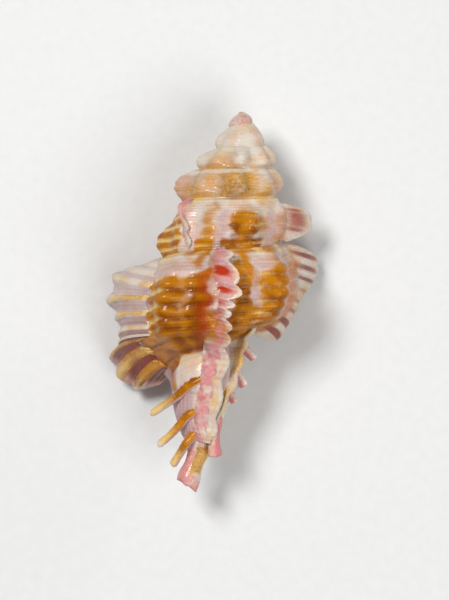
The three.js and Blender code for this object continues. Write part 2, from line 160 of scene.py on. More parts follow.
def hump(offset: np.ndarray, half_width: float) -> np.ndarray:
    """A rounded hump, 1 at its middle and 0 from one half width away."""
    share = np.clip(np.abs(offset) / half_width, 0, 1)
    return np.cos(share * math.pi / 2) ** 2


def wave(phase: np.ndarray) -> np.ndarray:
    """A rounded wave, 1 at whole numbers and 0 halfway between them."""
    return 0.5 + 0.5 * np.cos(FULL * phase)


def angle_of(turn: np.ndarray) -> np.ndarray:
    """The angle of a turn about the axis, from the right towards the back of the shell."""
    return math.pi / 2 + FULL * (turn - BACK_TURN)


def ripple(along: np.ndarray, across: np.ndarray) -> np.ndarray:
    """Makes an uneven waviness, which keeps grown forms from looking machined.

    Args:
        along: the place along the waves.
        across: the place across them.

    Returns:
        The waviness, between -1 and 1.
    """
    total = np.sin(FULL * along + RIPPLE_SWAY * np.sin(across * RIPPLE_SWAYS))
    for along_rate, across_rate, start in RIPPLES:
        total = total + np.sin(FULL * (along * along_rate + across * across_rate) + start)
    return total / (1 + len(RIPPLES))


def shade(along: np.ndarray, across: np.ndarray) -> np.ndarray:
    """The same waviness between 0 and 1."""
    return 0.5 + 0.5 * ripple(along, across)


@dataclass
class Skin:
    """A closed skin of triangles, with the tints at its points."""

    points: np.ndarray
    triangles: np.ndarray
    tints: Tints

    def merged(self) -> "Skin":
        """Joins points that share a place and drops triangles with no area.

        Returns:
            The same skin, closed where its edges meet and facing outwards.
        """
        keys = np.round(self.points, SAME_PLACE_DIGITS)
        _, first, index = np.unique(keys, axis=0, return_index=True, return_inverse=True)
        tris = index.ravel()[self.triangles]
        whole = (tris[:, 0] != tris[:, 1]) & (tris[:, 1] != tris[:, 2]) & (tris[:, 0] != tris[:, 2])
        tris = tris[whole]
        points = self.points[first]
        a, b, c = points[tris[:, 0]], points[tris[:, 1]], points[tris[:, 2]]
        if np.einsum("ij,ij->i", a, np.cross(b, c)).sum() < 0:
            tris = tris[:, ::-1]
        return Skin(points, tris, {tint: values[first] for tint, values in self.tints.items()})

    def build(self, name: str) -> bpy.types.Object:
        """Makes the Blender object of this skin, in metres and at its place in the frame.

        Args:
            name: the object's name.

        Returns:
            The new object, linked to the scene.
        """
        mesh = bpy.data.meshes.new(name)
        mesh.from_pydata(((self.points + AXIS_PLACE) * MM).tolist(), [], self.triangles.tolist())
        mesh.update()
        built = bpy.data.objects.new(name, mesh)
        bpy.context.collection.objects.link(built)
        return built


def all_tints(count: int, given: dict[Tint, np.ndarray | float]) -> Tints:
    """Tints that are 0 where nothing is said.

    Args:
        count: the number of points.
        given: the tints that are given.

    Returns:
        Every tint, as one number a point.
    """
    tints = {tint: np.zeros(count) for tint in Tint}
    for tint, value in given.items():
        tints[tint] = np.broadcast_to(np.asarray(value, dtype=float), (count,)).copy()
    return tints


def grid_triangles(index: np.ndarray) -> np.ndarray:
    """Two triangles for each cell of a grid of point numbers."""
    a, b, c, d = index[:-1, :-1], index[:-1, 1:], index[1:, 1:], index[1:, :-1]
    return np.concatenate([np.stack([a, b, c], -1).reshape(-1, 3), np.stack([a, c, d], -1).reshape(-1, 3)])


def tube_triangles(index: np.ndarray) -> np.ndarray:
    """Closes rings of point numbers into a tube with a flat end on each side.

    Args:
        index: the point numbers, one row a ring.

    Returns:
        The triangles of the tube and of its two ends.
    """
    wrapped = np.concatenate([index, index[:, :1]], axis=1)
    first, last = index[0], index[-1]
    inner = range(1, index.shape[1] - 1)
    ends = [(first[0], first[n + 1], first[n]) for n in inner]
    ends += [(last[0], last[n], last[n + 1]) for n in inner]
    return np.concatenate([grid_triangles(wrapped), np.array(ends)])


@dataclass
class Forms:
    """Where points lie on the whorls, and what stands there.

    Turn is the place along the growth. Share goes from 0 at the suture above a whorl to 1 at the one
    below, and base from 0 there to 1 at the pillar. Cord is 1 on a cord, thread is 1 on a fine thread,
    phase counts the cords, and rib is the height of the ribs.
    """

    turn: np.ndarray
    share: np.ndarray
    base: np.ndarray
    rib: np.ndarray
    cord: np.ndarray
    thread: np.ndarray
    phase: np.ndarray


@dataclass(frozen=True)
class Rib:
    """An axial rib or varix ridge: where it stands and how far it reaches over its whorl."""

    turn: float
    height: float
    middle: float
    half: float
    width: float = 0.05


@dataclass(frozen=True)
class EarlyRibs:
    """The small ribs of the spire, which stand a fixed part of a turn apart."""

    first: float = 2.25
    last: float = 4.63
    step: float = 0.125
    height: float = 0.32
    lowest: float = 0.85
    uneven: float = 0.3
    change: float = 2.4
    lean: float = 0.02
    width: float = 0.062
    middle: float = 0.46
    half: float = 0.56


@dataclass(frozen=True)
class CordRelief:
    """How far the spiral cords and the fine threads between them stand up, and where they fade.

    The spans are shares of the whorl's height, or turns where the name says so.
    """

    height: float = 0.036
    crest: float = 0.7
    thread: float = 0.15
    bead: float = 0.04
    beads_a_turn: float = 110
    least_bead: float = 0.6
    bead_sway: float = 3
    bead_sways: float = 11
    top: Span = (0.08, 0.3)
    bottom: Span = (0.86, 0.98)
    last_whorl_turns: Span = (5.33, 5.42)
    on_base: Span = (0.35, 1)
    lip_turns: Span = (6.06, 6.18)
    lip: Span = (0.98, 1.1)
    lip_more: float = 1.6
    worn_turn: float = 5.46
    worn_half: float = 0.13
    worn: Span = (0.3, 0.6)
    worn_loss: float = 0.75
    young: float = 0.55
    growing_turns: Span = (4.2, 5.6)
    between_ribs: float = 0.7
    on_ribs: float = 0.5
    highest_rib: float = 1.5

    def relief(self, forms: Forms) -> np.ndarray:
        """Finds how far the cords stand up.

        Args:
            forms: where the points lie.

        Returns:
            The relief as a part of the radius.
        """
        turn, share, cord = forms.turn, forms.share, forms.cord
        last_whorl = ramp(self.last_whorl_turns, turn)
        body = ramp(self.top, share) * (1 - ramp(self.bottom, share) * (1 - last_whorl))
        body = body * (1 - ramp(self.on_base, forms.base))
        body = body * (1 + self.lip_more * ramp(self.lip_turns, turn) * ramp(self.lip, share))
        worn = hump(turn - self.worn_turn, self.worn_half) * ramp(self.worn, share)
        body = body * (1 - self.worn_loss * worn)
        strength = self.height * (self.young + (1 - self.young) * ramp(self.growing_turns, turn))
        strength = strength * (self.between_ribs + self.on_ribs * np.clip(forms.rib, 0, self.highest_rib))
        sway = self.bead_sway * ripple(turn * self.bead_sways, share)
        beads = self.least_bead + (1 - self.least_bead) * np.sin(FULL * turn * self.beads_a_turn + sway)
        fine = self.thread * forms.thread * beads + self.bead * beads * cord
        return body * strength * (cord ** self.crest + fine)


RIBS = (
    Rib(4.94, 1.8, 0.52, 0.36), Rib(5.04, 0.5, 0.5, 0.4), Rib(5.245, 0.95, 0.74, 0.34),
    Rib(5.24, -0.8, 0.27, 0.22), Rib(5.34, 0.9, 0.6, 0.4), Rib(5.53, 0.8, 0.55, 0.6),
    Rib(5.63, 0.8, 0.55, 0.6), Rib(5.86, 1.5, 0.55, 0.65), Rib(6.11, 1.5, 0.65, 0.75),
    Rib(6.22, 0.5, 0.6, 0.7), Rib(4.45, 0.9, 0.5, 0.6), Rib(4.79, 0.8, 0.5, 0.5),
    Rib(5.14, 0.7, 0.5, 0.6), Rib(5.43, 0.4, 0.5, 0.6), Rib(5.72, 1, 0.6, 0.9),
    Rib(6, 1, 0.6, 0.9), Rib(6.31, 1.1, 0.6, 1),
)

# How strong each tint is along the growth, as the shell's own colours and some painted shade: pairs of turn
# and strength
PIGMENTS_AND_SHADE: dict[Tint, Points] = {
    Tint.AMBER: ((0, 0), (2.4, 0.1), (2.9, 0.15), (2.96, 0.35), (3.0, 0.15), (3.03, 0.45), (3.08, 0.4),
                 (3.14, 0.2), (3.5, 0.25), (3.75, 0.4), (3.84, 0.3), (3.88, 0.5), (3.92, 0.55),
                 (3.945, 0.75), (3.965, 0.8), (3.985, 0.5), (4.005, 0.8), (4.03, 0.85), (4.05, 0.6),
                 (4.08, 0.45), (4.12, 0.5), (4.15, 0.6), (4.2, 0.6), (4.24, 0.4), (4.5, 0.4), (4.7, 0.35),
                 (4.8, 0.55), (4.85, 0.15), (4.87, 0.35), (4.9, 0.5), (4.98, 0.5), (5.0, 0.2), (5.02, 0.1),
                 (5.035, 0.35), (5.048, 0.5), (5.06, 0.5), (5.085, 0.2), (5.125, 0.1), (5.145, 0.9),
                 (5.2, 1), (5.29, 1), (5.33, 0.4), (5.55, 0.5), (5.7, 0.4), (5.77, 0.6), (5.83, 0.35),
                 (5.853, 0.7), (5.865, 1), (5.893, 1), (5.908, 0.3), (5.92, 0.3), (5.934, 0.9),
                 (5.96, 0.95), (5.978, 0.3), (5.99, 0.15), (6.002, 0.45), (6.012, 0.4), (6.03, 0.9),
                 (6.06, 0.85), (6.071, 0.55), (6.08, 0.55), (6.088, 1), (6.158, 1), (6.172, 0.5),
                 (6.22, 0.45), (6.34, 0.4)),
    # Brown is partly painted shade: on the knob's lower side at 4.965 to 4.985, as painted shadow behind the
    # varix's overhang at 5.94 to 5.96, and on the shaded side of the rib at 6.11 and in the groove at the
    # varix's foot from 6.02 to 6.13.
    Tint.BROWN: ((0, 0), (3.92, 0), (3.945, 0.3), (3.965, 0.35), (3.99, 0), (4.95, 0), (4.965, 0.45),
                 (4.985, 0.85), (5, 0.1), (5.05, 0), (5.84, 0), (5.87, 0.5), (5.893, 0.6), (5.905, 0.1),
                 (5.925, 0.1), (5.94, 0.7), (5.96, 0.7), (5.975, 0.1), (6.01, 0.1), (6.025, 1), (6.06, 1),
                 (6.073, 0.6), (6.086, 1), (6.105, 0.8), (6.13, 0.25), (6.2, 0.1), (6.34, 0)),
    # Red is painted shade and bounced light in the groove at the varix's foot.
    Tint.RED: ((0, 0), (6, 0), (6.012, 0.4), (6.03, 0.55), (6.048, 0.3), (6.065, 0), (6.34, 0)),
    Tint.RIDGE: ((0, 0.2), (4.85, 0.6), (4.9, 0.7), (4.97, 0.3), (5.05, 0.5), (5.1, 0.9), (5.3, 1),
                 (5.5, 0.5), (5.8, 0.6), (5.87, 0.25), (5.905, 0.8), (5.93, 0.2), (5.96, 0.1), (6, 0.7),
                 (6.03, 0.1), (6.06, 0.1), (6.075, 0.5), (6.09, 0.1), (6.11, 0.4), (6.125, 1), (6.34, 1)),
    Tint.LILAC: ((0, 0), (3.9, 0.1), (4.04, 0.2), (4.09, 0.6), (4.14, 0.3), (4.5, 0.3), (4.85, 0.5),
                 (4.9, 0.2), (4.99, 0.4), (5.015, 0.9), (5.04, 0.3), (5.1, 0.3), (5.5, 0.3), (5.8, 0.5),
                 (5.89, 0.3), (5.915, 0.9), (5.93, 0.4), (5.98, 0.3), (6, 0.6), (6.03, 0.1), (6.07, 0.5),
                 (6.08, 0.3), (6.155, 0.3), (6.175, 1.1), (6.34, 1.2)),
    Tint.PINK: ((0, 1), (0.8, 0.8), (1.5, 0.5), (2.2, 0.3), (3.8, 0.4), (3.85, 0.5), (3.88, 0.2),
                (4.0, 0.1), (4.08, 0.25), (4.12, 0.25), (4.16, 0.15), (4.19, 0.3), (4.22, 0.5), (4.3, 0.5),
                (4.7, 0.4), (4.82, 0.4), (4.86, 0.5), (4.885, 0.15), (5.0, 0.15), (5.07, 0.1), (5.1, 0.5),
                (5.13, 0.4), (5.15, 0.1), (5.2, 0.1), (5.5, 0.2), (5.76, 0.5), (5.84, 0.4), (5.87, 0.1),
                (5.92, 0.25), (5.965, 0.2), (5.98, 0.8), (6, 0.45), (6.02, 0.4), (6.04, 0.1), (6.18, 0.3),
                (6.34, 0.4)),
}
# How far down the whorl its colour starts: pairs of turn and share
COLOUR_START: Points = ((0, 0.1), (2.8, 0.2), (3.9, 0.16), (4.3, 0.2), (4.7, 0.25), (4.9, 0.32),
                        (5.02, 0.2), (5.06, 0.25), (5.2, 0.3), (5.6, 0.3), (5.86, 0.2), (5.9, 0.3),
                        (5.95, 0.12), (6, 0.1), (6.04, 0.28), (6.09, 0.35), (6.34, 0.35))


@dataclass(frozen=True)
class Region:
    """A part of the whorls where a tint is stronger: it comes in over a span of share and one of turns."""

    strength: float
    share: Span
    turns: Span

    def spread(self, forms: Forms) -> np.ndarray:
        """How strong the tint is at each point."""
        return self.strength * ramp(self.share, forms.share) * ramp(self.turns, forms.turn)


@dataclass(frozen=True)
class Node:
    """The big amber knob on the whorl above the last, with the amber strip beside and below it."""

    turn: float = 4.945
    share: float = 0.5
    half_turn: float = 0.055
    half_share: float = 0.36
    strength: float = 1.25
    fade: Span = (0.2, 1.35)
    ragged: float = 0.15
    ragged_rates: Span = (9, 2)
    strip: float = 0.9
    strip_share: Span = (0.68, 0.85)
    strip_from: Span = (4.86, 4.9)
    strip_to: Span = (5.085, 5.1)
    gap_turn: float = 5.027
    gap_half: float = 0.018

    def amber(self, forms: Forms) -> np.ndarray:
        """Finds how amber the knob and its strip are.

        Args:
            forms: where the points lie.

        Returns:
            The amber at each point.
        """
        turn, share = forms.turn, forms.share
        strip = ramp(self.strip_from, turn) - ramp(self.strip_to, turn)
        strip = strip - hump(turn - self.gap_turn, self.gap_half)
        along, across = self.ragged_rates
        away = np.hypot((turn - self.turn) / self.half_turn, (share - self.share) / self.half_share)
        away = away + self.ragged * ripple(turn * along, share * across)
        knob = self.strength * (1 - ramp(self.fade, away))
        return np.maximum(self.strip * ramp(self.strip_share, share) * strip, knob)


@dataclass(frozen=True)
class WhorlColours:
    """Where the whorls are amber, brown, red, lilac, pink and pale; some of the brown and red is painted
    shade in troughs and grooves.

    The spans are shares of the whorl's height, or turns where the name says so.
    """

    blotch_rates: Span = (5.3, 1.4)
    wander: float = 0.011
    wander_rates: tuple[float, float, float] = (1.6, 3, 0.7)
    wander_fine: float = 0.007
    wander_fine_rate: float = 5
    early_wander: float = 0.8
    late_turns: Span = (4.6, 4.88)
    start: Span = (-0.09, 0.09)
    start_uneven: float = 0.05
    end: Span = (0.72, 0.9)
    end_uneven: float = 0.25
    late_end: float = 0.25
    late_end_turns: Span = (6.1, 6.2)
    early_end: float = 0.75
    early_end_turns: Span = (6.2, 6.3)
    cords: Span = (0.08, 0.2)
    pale_narrow: float = 1.5
    pale_loss: float = 0.6
    pale_end: Span = (1.0, 1.1)
    early_pale: float = 0.45
    low_amber: Region = Region(0.75, (0.62, 0.9), (5.7, 5.85))
    early_amber: tuple[Region, ...] = (Region(0.45, (0.55, 0.95), (2.4, 2.8)),
                                       Region(0.25, (0.55, 0.95), (3.7, 3.9)),
                                       Region(-0.7, (0.55, 0.95), (4.6, 4.8)))
    node: Node = Node()
    streaks: Points = ((3.93, 0.6), (4.02, 0.5), (4.17, 0.6), (4.89, 0.5), (4.955, 0.45), (5.05, 0.7),
                       (5.865, 0.7), (5.965, 0.75), (6.055, 0.8))
    streak_half: float = 0.034
    streak_sway: float = 1.6
    streak_strength: float = 0.85
    streak_end: Span = (0.16, 0.4)
    wash: float = 0.34
    wash_turns: Span = (4.7, 4.9)
    suture_amber: Span = (0.3, 0.5)
    suture_end: Span = (0.03, 0.14)
    suture_turns: Span = (3.7, 3.9)
    # The brown fields below paint shade: brown is kept whole in the troughs between the cords and cut to
    # brown_least on them, and it fills a patch of the groove at the varix's foot and the deep grooves near
    # the lip.
    brown_least: float = 0.3
    shade_patch: float = 0.8
    shade_patch_turn: float = 6.04
    shade_patch_half: float = 0.03
    shade_patch_from: Span = (0.6, 0.8)
    brown_from: Span = (0.2, 0.5)
    groove_turns: Span = (6.06, 6.14)
    groove_from: Span = (0.9, 1)
    groove_narrow: float = 4
    groove_end: Span = (0.7, 0.95)
    lilac_wash: float = 0.3
    lilac_turns: Span = (4.2, 5)
    shoulder: float = 0.75
    shoulder_from: Span = (0.05, 0.16)
    shoulder_turns: Span = (4.6, 5.6)
    lilac_loss: float = 0.8
    lilac_loss_from: Span = (0.95, 1.1)
    lilac_again: Span = (0.7, 0.9)
    pink_from: Span = (0.05, 0.3)
    pink_loss: float = 0.8
    pink_end: Span = (0.7, 1)

    def tints(self, forms: Forms) -> Tints:
        """Says how the whorls are coloured.

        Args:
            forms: where the points lie.

        Returns:
            The tints that aren't 0.
        """
        turn, share, base = forms.turn, forms.share, forms.base
        along, across = self.blotch_rates
        uneven = shade(turn * along, share * across)
        drift = self.drift(forms)
        zones = {tint: smooth_curve(points, turn + drift) for tint, points in PIGMENTS_AND_SHADE.items()}
        below = share - smooth_curve(COLOUR_START, turn) + self.start_uneven * (uneven - 0.5)
        started = ramp(self.start, below)
        ending = base + self.end_uneven * (uneven - 0.5) - self.late_end * ramp(self.late_end_turns, turn)
        ending = ending + self.early_end * ramp(self.early_end_turns, turn)
        on_body = started * (1 - ramp(self.end, ending))
        between = 1 - forms.cord * ramp(self.cords, share)
        pale = zones[Tint.RIDGE] * between ** self.pale_narrow
        pale = pale * (1 - self.pale_loss * ramp(self.pale_end, share))
        pale = np.maximum(pale, self.early_pale * (1 - ramp(self.late_turns, turn)))
        low = np.maximum(self.low_amber.spread(forms), self.node.amber(forms))
        low = np.maximum(low, sum(region.spread(forms) for region in self.early_amber))
        amber = np.maximum(zones[Tint.AMBER], low) * on_body
        amber = np.maximum(amber, self.top_amber(forms, drift, uneven))
        # Painted shade: brown deepest in the troughs between the cords, in a patch of the groove at the
        # varix's foot, and in the deep grooves near the lip.
        shaded_spot = hump(turn - self.shade_patch_turn, self.shade_patch_half) * ramp(self.shade_patch_from, share)
        dark = self.brown_least + (1 - self.brown_least) * np.maximum(between, self.shade_patch * shaded_spot)
        groove_shade = ramp(self.groove_turns, turn) * ramp(self.groove_from, share)
        groove_shade = groove_shade * between ** self.groove_narrow * (1 - ramp(self.groove_end, base))
        brown = np.maximum(zones[Tint.BROWN] * dark * ramp(self.brown_from, share), groove_shade) * on_body
        wash = self.lilac_wash * uneven * ramp(self.lilac_turns, turn)
        lilac = np.maximum(zones[Tint.LILAC] * started, wash)
        shoulder = ramp(self.shoulder_from, share) * (1 - started) * ramp(self.shoulder_turns, turn)
        less = self.lilac_loss * ramp(self.lilac_loss_from, share) * (1 - ramp(self.lilac_again, base))
        lilac = np.maximum(lilac, self.shoulder * shoulder) * (1 - less)
        pink = zones[Tint.PINK] * ramp(self.pink_from, share)
        pink = pink * (1 - self.pink_loss * ramp(self.pink_end, base))
        return {Tint.AMBER: amber, Tint.BROWN: brown, Tint.LILAC: lilac, Tint.PINK: pink,
                Tint.RIDGE: np.clip(pale, 0, 1), Tint.RED: zones[Tint.RED] * on_body, Tint.GROWTH: turn,
                Tint.THREAD: forms.phase}

    def drift(self, forms: Forms) -> np.ndarray:
        """Finds how far the colours wander along the growth, more so on the early whorls.

        Args:
            forms: where the points lie.

        Returns:
            The drift in turns.
        """
        turn, share = forms.turn, forms.share
        across, along, slow = self.wander_rates
        drift = self.wander * ripple(share * across + turn * along, turn * slow)
        drift = drift + self.wander_fine * ripple((share + turn) * self.wander_fine_rate, turn)
        return drift * (1 + self.early_wander * (1 - ramp(self.late_turns, turn)))

    def top_amber(self, forms: Forms, drift: np.ndarray, uneven: np.ndarray) -> np.ndarray:
        """Finds the amber above the coloured body: streaks, a wash and a line along the suture.

        Args:
            forms: where the points lie.
            drift: how far their colour wanders.
            uneven: their blotches.

        Returns:
            The amber at each point.
        """
        turn, share = forms.turn, forms.share
        streaks = sum(size * hump(turn + self.streak_sway * drift - at, self.streak_half)
                      for at, size in self.streaks)
        top = np.maximum(self.streak_strength * streaks, self.wash * ramp(self.wash_turns, turn))
        top = top * (1 - ramp(self.streak_end, share))
        least, more = self.suture_amber
        line = (least + more * uneven) * (1 - ramp(self.suture_end, share)) * ramp(self.suture_turns, turn)
        return np.maximum(top, line)


@dataclass(frozen=True)
class Canal:
    """The narrow canal at the foot of the shell: where it ends, and its colours.

    The spans are depths. Left, top and strip say which way the surface faces.
    """

    end: float = 45.07
    slant: float = 0.62
    teeth: float = 0.16
    tooth_count: int = 5
    tooth_start: float = 0.8
    slanted: Span = (40.5, 45.07)
    blotch_rates: Span = (1.1, 0.35)
    left: Span = (0.05, 0.45)
    top: Span = (0.2, 0.8)
    strip_at: float = 0.02
    strip_half: float = 0.4
    tip: Span = (38.8, 40)
    last: Span = (42.3, 44)
    strip_from: Span = (31.5, 34)
    lilac_from: Span = (31.5, 36)
    maroon_from: Span = (31, 34)
    last_uneven: float = 0.5
    strip_pink: float = 0.6
    tip_pink: Span = (0.1, 0.8)
    last_pink: float = 0.8
    right_amber: float = 0.3
    lilac: Span = (0.9, 0.5)
    ring: float = 0.25
    ring_at: float = 39.5
    ring_half: float = 1.2
    maroon: float = 0.3
    red: float = 0.35
    red_at: float = -0.3
    red_half: float = 0.35
    tip_pale: float = 0.5
    growth_rate: float = 0.02
    threads: float = 2

    def ragged(self, depth: np.ndarray, angle: np.ndarray) -> np.ndarray:
        """Slants the canal's end, which is longer on the right, and gives it teeth."""
        teeth = self.teeth * (1 + np.cos(self.tooth_count * angle + self.tooth_start))
        return depth - (self.slant * (1 - np.cos(angle)) + teeth) * ramp(self.slanted, depth)

    def tints(self, depth: np.ndarray, angle: np.ndarray) -> Tints:
        """Colours the canal: lilac on the left, a pink strip, cream on the right, amber at the end.

        Args:
            depth: the depth of each point.
            angle: its angle about the axis.

        Returns:
            The tints that aren't 0.
        """
        along, across = self.blotch_rates
        uneven = shade(angle * along, depth * across)
        left = ramp(self.left, -np.cos(angle))
        top = ramp(self.top, np.sin(angle))
        strip = top * hump(np.cos(angle) - self.strip_at, self.strip_half)
        tip = ramp(self.tip, depth)
        last = ramp(self.last, depth + self.last_uneven * uneven)
        pink = self.strip_pink * (1 + uneven) * strip * ramp(self.strip_from, depth) * (1 - tip)
        least, more = self.tip_pink
        pink = np.maximum(pink, tip * np.maximum(least + more * left, self.last_pink * last))
        amber = tip * (1 - left) * top * (1 - last) + self.right_amber * (1 - left) * (1 - tip) * uneven
        least, more = self.lilac
        lilac = (least + more * ramp(self.lilac_from, depth)) * left * (1 - tip)
        brown = self.ring * hump(depth - self.ring_at, self.ring_half) * (1 - top)
        maroon = self.maroon * left * uneven * (1 - tip) * ramp(self.maroon_from, depth)
        red = self.red * tip * hump(np.cos(angle) - self.red_at, self.red_half) * top
        return {Tint.LILAC: lilac, Tint.PINK: pink, Tint.AMBER: amber, Tint.BROWN: brown,
                Tint.MAROON: maroon, Tint.RED: red, Tint.RIDGE: self.tip_pale * tip,
                Tint.GROWTH: depth * self.growth_rate, Tint.THREAD: angle * self.threads}


@dataclass
class Whorls:
    """The coiled tube of the shell with its ribs and cords, its pillar and its canal."""

    suture_depth: tuple[float, ...] = (0, 0, 1.5, 4.1, 6.6, 10.1, 16.3, 24.8, 37)
    suture_radius: tuple[float, ...] = (0, 0, 1.4, 2.6, 3.9, 5.15, 6.3, 8.0, 9.8)
    bulge: tuple[float, ...] = (0.3, 0.5, 0.3, 0.25, 0.35, 0.6, 1.4, 1.7, 1.9)
    fullness: float = 0.8
    skew: float = 0.8
    more_skew: float = 0.7
    skew_rises: Span = (1.8, 2.4)
    skew_falls: Span = (3.3, 4.3)
    core_radius: Points = ((0, 2.2), (20, 2.3), (26, 2.9), (31, 4.1), (34, 3.4), (37.5, 2.3), (39.8, 1.35),
                           (41.5, 1.15), (44, 1.4), (45, 1.3))
    axis_bend: Points = ((0, 0), (1.5, 0.2), (3, 0.6), (5, 0.5), (8, 0.15), (12, 0), (28, 0), (35, -0.55),
                         (38, -0.3), (39.8, 0), (42, -0.45), (44, -0.85), (45, -0.95))
    cord_phase: Points = ((0, -1.6), (0.12, -1), (0.27, 0), (0.44, 1), (0.63, 2), (0.82, 3), (0.97, 4),
                          (1.1, 5), (1.23, 6), (1.38, 7), (1.6, 8), (2.2, 10))
    cord_roundness: float = 0.8
    thread_narrow: float = 6
    dome_radius: float = 0.85
    dome_height: float = 1.0
    contraction: float = 3.9
    join_depth: float = 33.4
    flat_turn: float = 5.5
    flat_half: float = 0.24
    flat_share: float = 0.13
    wavy: float = 0.012
    wavy_rates: Span = (7, 2.2)
    wavy_turns: Span = (1.5, 3)
    wavy_from: Span = (0, 0.2)
    ribs: tuple[Rib, ...] = RIBS
    early_ribs: EarlyRibs = EarlyRibs()
    cords: CordRelief = CordRelief()
    colours: WhorlColours = WhorlColours()
    canal: Canal = Canal()
    columns: int = 168
    whorl_rows: int = 36
    contraction_rows: int = 18
    pillar_rows: int = 8
    canal_rows: int = 46

    def suture(self, turn: np.ndarray) -> np.ndarray:
        """Depth of the suture above the whorl at a turn."""
        return np.where(np.asarray(turn) <= 1, 0, grown(self.suture_depth, turn))

    def suture_size(self, turn: np.ndarray) -> np.ndarray:
        """Radius of the suture above the whorl at a turn."""
        return np.where(np.asarray(turn) <= 1, 0, grown(self.suture_radius, turn))

    def share(self, turn: np.ndarray, depth: np.ndarray) -> np.ndarray:
        """Says how far down its whorl a point lies.

        Args:
            turn: the turn of each point.
            depth: its depth below the apex.

        Returns:
            A share from 0 at the suture above to 1 at the suture below, and past 1 on the base.
        """
        top = self.suture(turn)
        span = self.suture(turn + 1) - top
        return np.where(span > TINY, (depth - top) / np.maximum(span, TINY), 0)

    def rib_height(self, turn: np.ndarray, share: np.ndarray) -> np.ndarray:
        """Adds up the ribs.

        Args:
            turn: the turn of each point.
            share: its share of the whorl's height.

        Returns:
            The ribs' height at each point.
        """
        height = np.zeros(np.broadcast(turn, share).shape)
        early = self.early_ribs
        for number in range(math.ceil((early.last - early.first) / early.step)):
            middle = early.first + number * early.step
            across = hump(turn - middle + early.lean * (share - 0.5), early.width)
            uneven = early.lowest + early.uneven * math.sin(number * early.change)
            size = early.height * self.suture_size(middle + 0.5) * uneven
            height = height + size * across * np.sqrt(hump(share - early.middle, early.half))
        for rib in self.ribs:
            across = hump(turn - rib.turn, rib.width)
            height = height + rib.height * across * np.sqrt(hump(share - rib.middle, rib.half))
        return height

    def surface(self, turn: np.ndarray, depth: np.ndarray) -> tuple[np.ndarray, Forms]:
        """Finds the surface of the shell.

        Args:
            turn: the turn of each point.
            depth: its depth below the apex.

        Returns:
            The radius from the axis, and the forms there.
        """
        turn, depth = np.broadcast_arrays(np.asarray(turn, float), np.asarray(depth, float))
        share = self.share(turn, depth)
        below = self.suture(turn + 1)
        size_below = self.suture_size(turn + 1)
        chord = self.suture_size(turn) * (1 - share) + size_below * share
        skew = self.skew + self.more_skew * (ramp(self.skew_rises, turn) - ramp(self.skew_falls, turn))
        round_out = np.sin(math.pi * np.clip(share, 0, 1) ** skew).clip(0) ** self.fullness
        base = np.clip((depth - below) / self.contraction, 0, 1)
        drop = np.maximum(size_below - smooth_curve(self.core_radius, below), 0)
        on_whorl = chord + grown(self.bulge, turn) * round_out
        on_base = smooth_curve(self.core_radius, depth) + drop * wave(base / 2)
        radius = np.where(share <= 1, on_whorl, on_base)
        up_dome = 1 - np.clip(1 - depth / self.dome_height, 0, 1) ** 2
        dome = np.where(depth < self.dome_height, self.dome_radius * np.sqrt(up_dome), 0)
        radius = np.maximum(radius, dome)
        rib = self.rib_height(turn, share)
        phase = smooth_curve(self.cord_phase, share)
        cord = wave(phase) ** self.cord_roundness
        thread = (1 - wave(phase)) ** self.thread_narrow
        forms = Forms(turn, share, base, rib, cord, thread, phase)
        along, across = self.wavy_rates
        wavy = self.wavy * ripple(turn * along, share * across) * ramp(self.wavy_turns, turn)
        flat = 1 - self.flat_share * hump(turn - self.flat_turn, self.flat_half)
        total = radius * (1 + self.cords.relief(forms) + wavy * ramp(self.wavy_from, share)) + rib
        return total * flat, forms

    def place(self, depth: np.ndarray, radius: np.ndarray, angle: np.ndarray) -> np.ndarray:
        """Turns depth, radius and angle into points."""
        across = smooth_curve(self.axis_bend, depth) + radius * np.cos(angle)
        return np.stack(np.broadcast_arrays(across, -depth, radius * np.sin(angle)), -1)

    def skin(self) -> Skin:
        """Makes the whorls as one spiral strip, closed by the canal below and a wall at the lip.

        Returns:
            The closed skin.
        """
        whorls = self.whorl_part()
        base = self.base_part(whorls[0])
        parts = [whorls, base, self.canal_part()]
        grids, start, tints = [], 0, {tint: [] for tint in Tint}
        for points, given in parts:
            shape = points.shape[:2]
            size = shape[0] * shape[1]
            grids.append(start + np.arange(size).reshape(shape))
            start += size
            flat = {tint: np.broadcast_to(values, shape).ravel() for tint, values in given.items()}
            for tint, values in all_tints(size, flat).items():
                tints[tint].append(values)
        triangles = [grid_triangles(grid) for grid in grids]
        triangles.append(grid_triangles(np.stack([grids[1][:, -1], grids[2][:, 0]], 1)))
        points = np.concatenate([points.reshape(-1, 3) for points, _ in parts])
        outer = [*grids[0][-1], *grids[1][-1][1:], grids[2][-1][0]]
        inner = [*grids[1][0], grids[2][0][0]]
        triangles.append(self.wall(points, outer, inner))
        joined = {tint: np.concatenate(values) for tint, values in tints.items()}
        return Skin(points, np.concatenate(triangles), joined).merged()

    def turns(self) -> np.ndarray:
        """The turn of each column of points, from the apex to the lip."""
        return np.arange(round(LIP_TURN * self.columns) + 1) / self.columns

    def whorl_part(self) -> tuple[np.ndarray, Tints]:
        """Makes the whorls, each from its suture above to its suture below.

        Returns:
            The grid of points and its tints.
        """
        turn = self.turns()[:, None]
        covered = len(turn) - self.columns
        top, bottom = self.suture(turn), self.suture(turn + 1)
        depth = top + (bottom - top) * np.arange(self.whorl_rows + 1) / self.whorl_rows
        own_turn = np.broadcast_to(turn, depth.shape).copy()
        own_turn[:covered, -1] += 1
        radius, forms = self.surface(own_turn, depth)
        radius = np.where(depth <= TINY, 0, radius)
        points = self.place(depth, radius, angle_of(turn))
        points[:covered, -1] = points[self.columns:, 0]
        return points, self.colours.tints(forms)

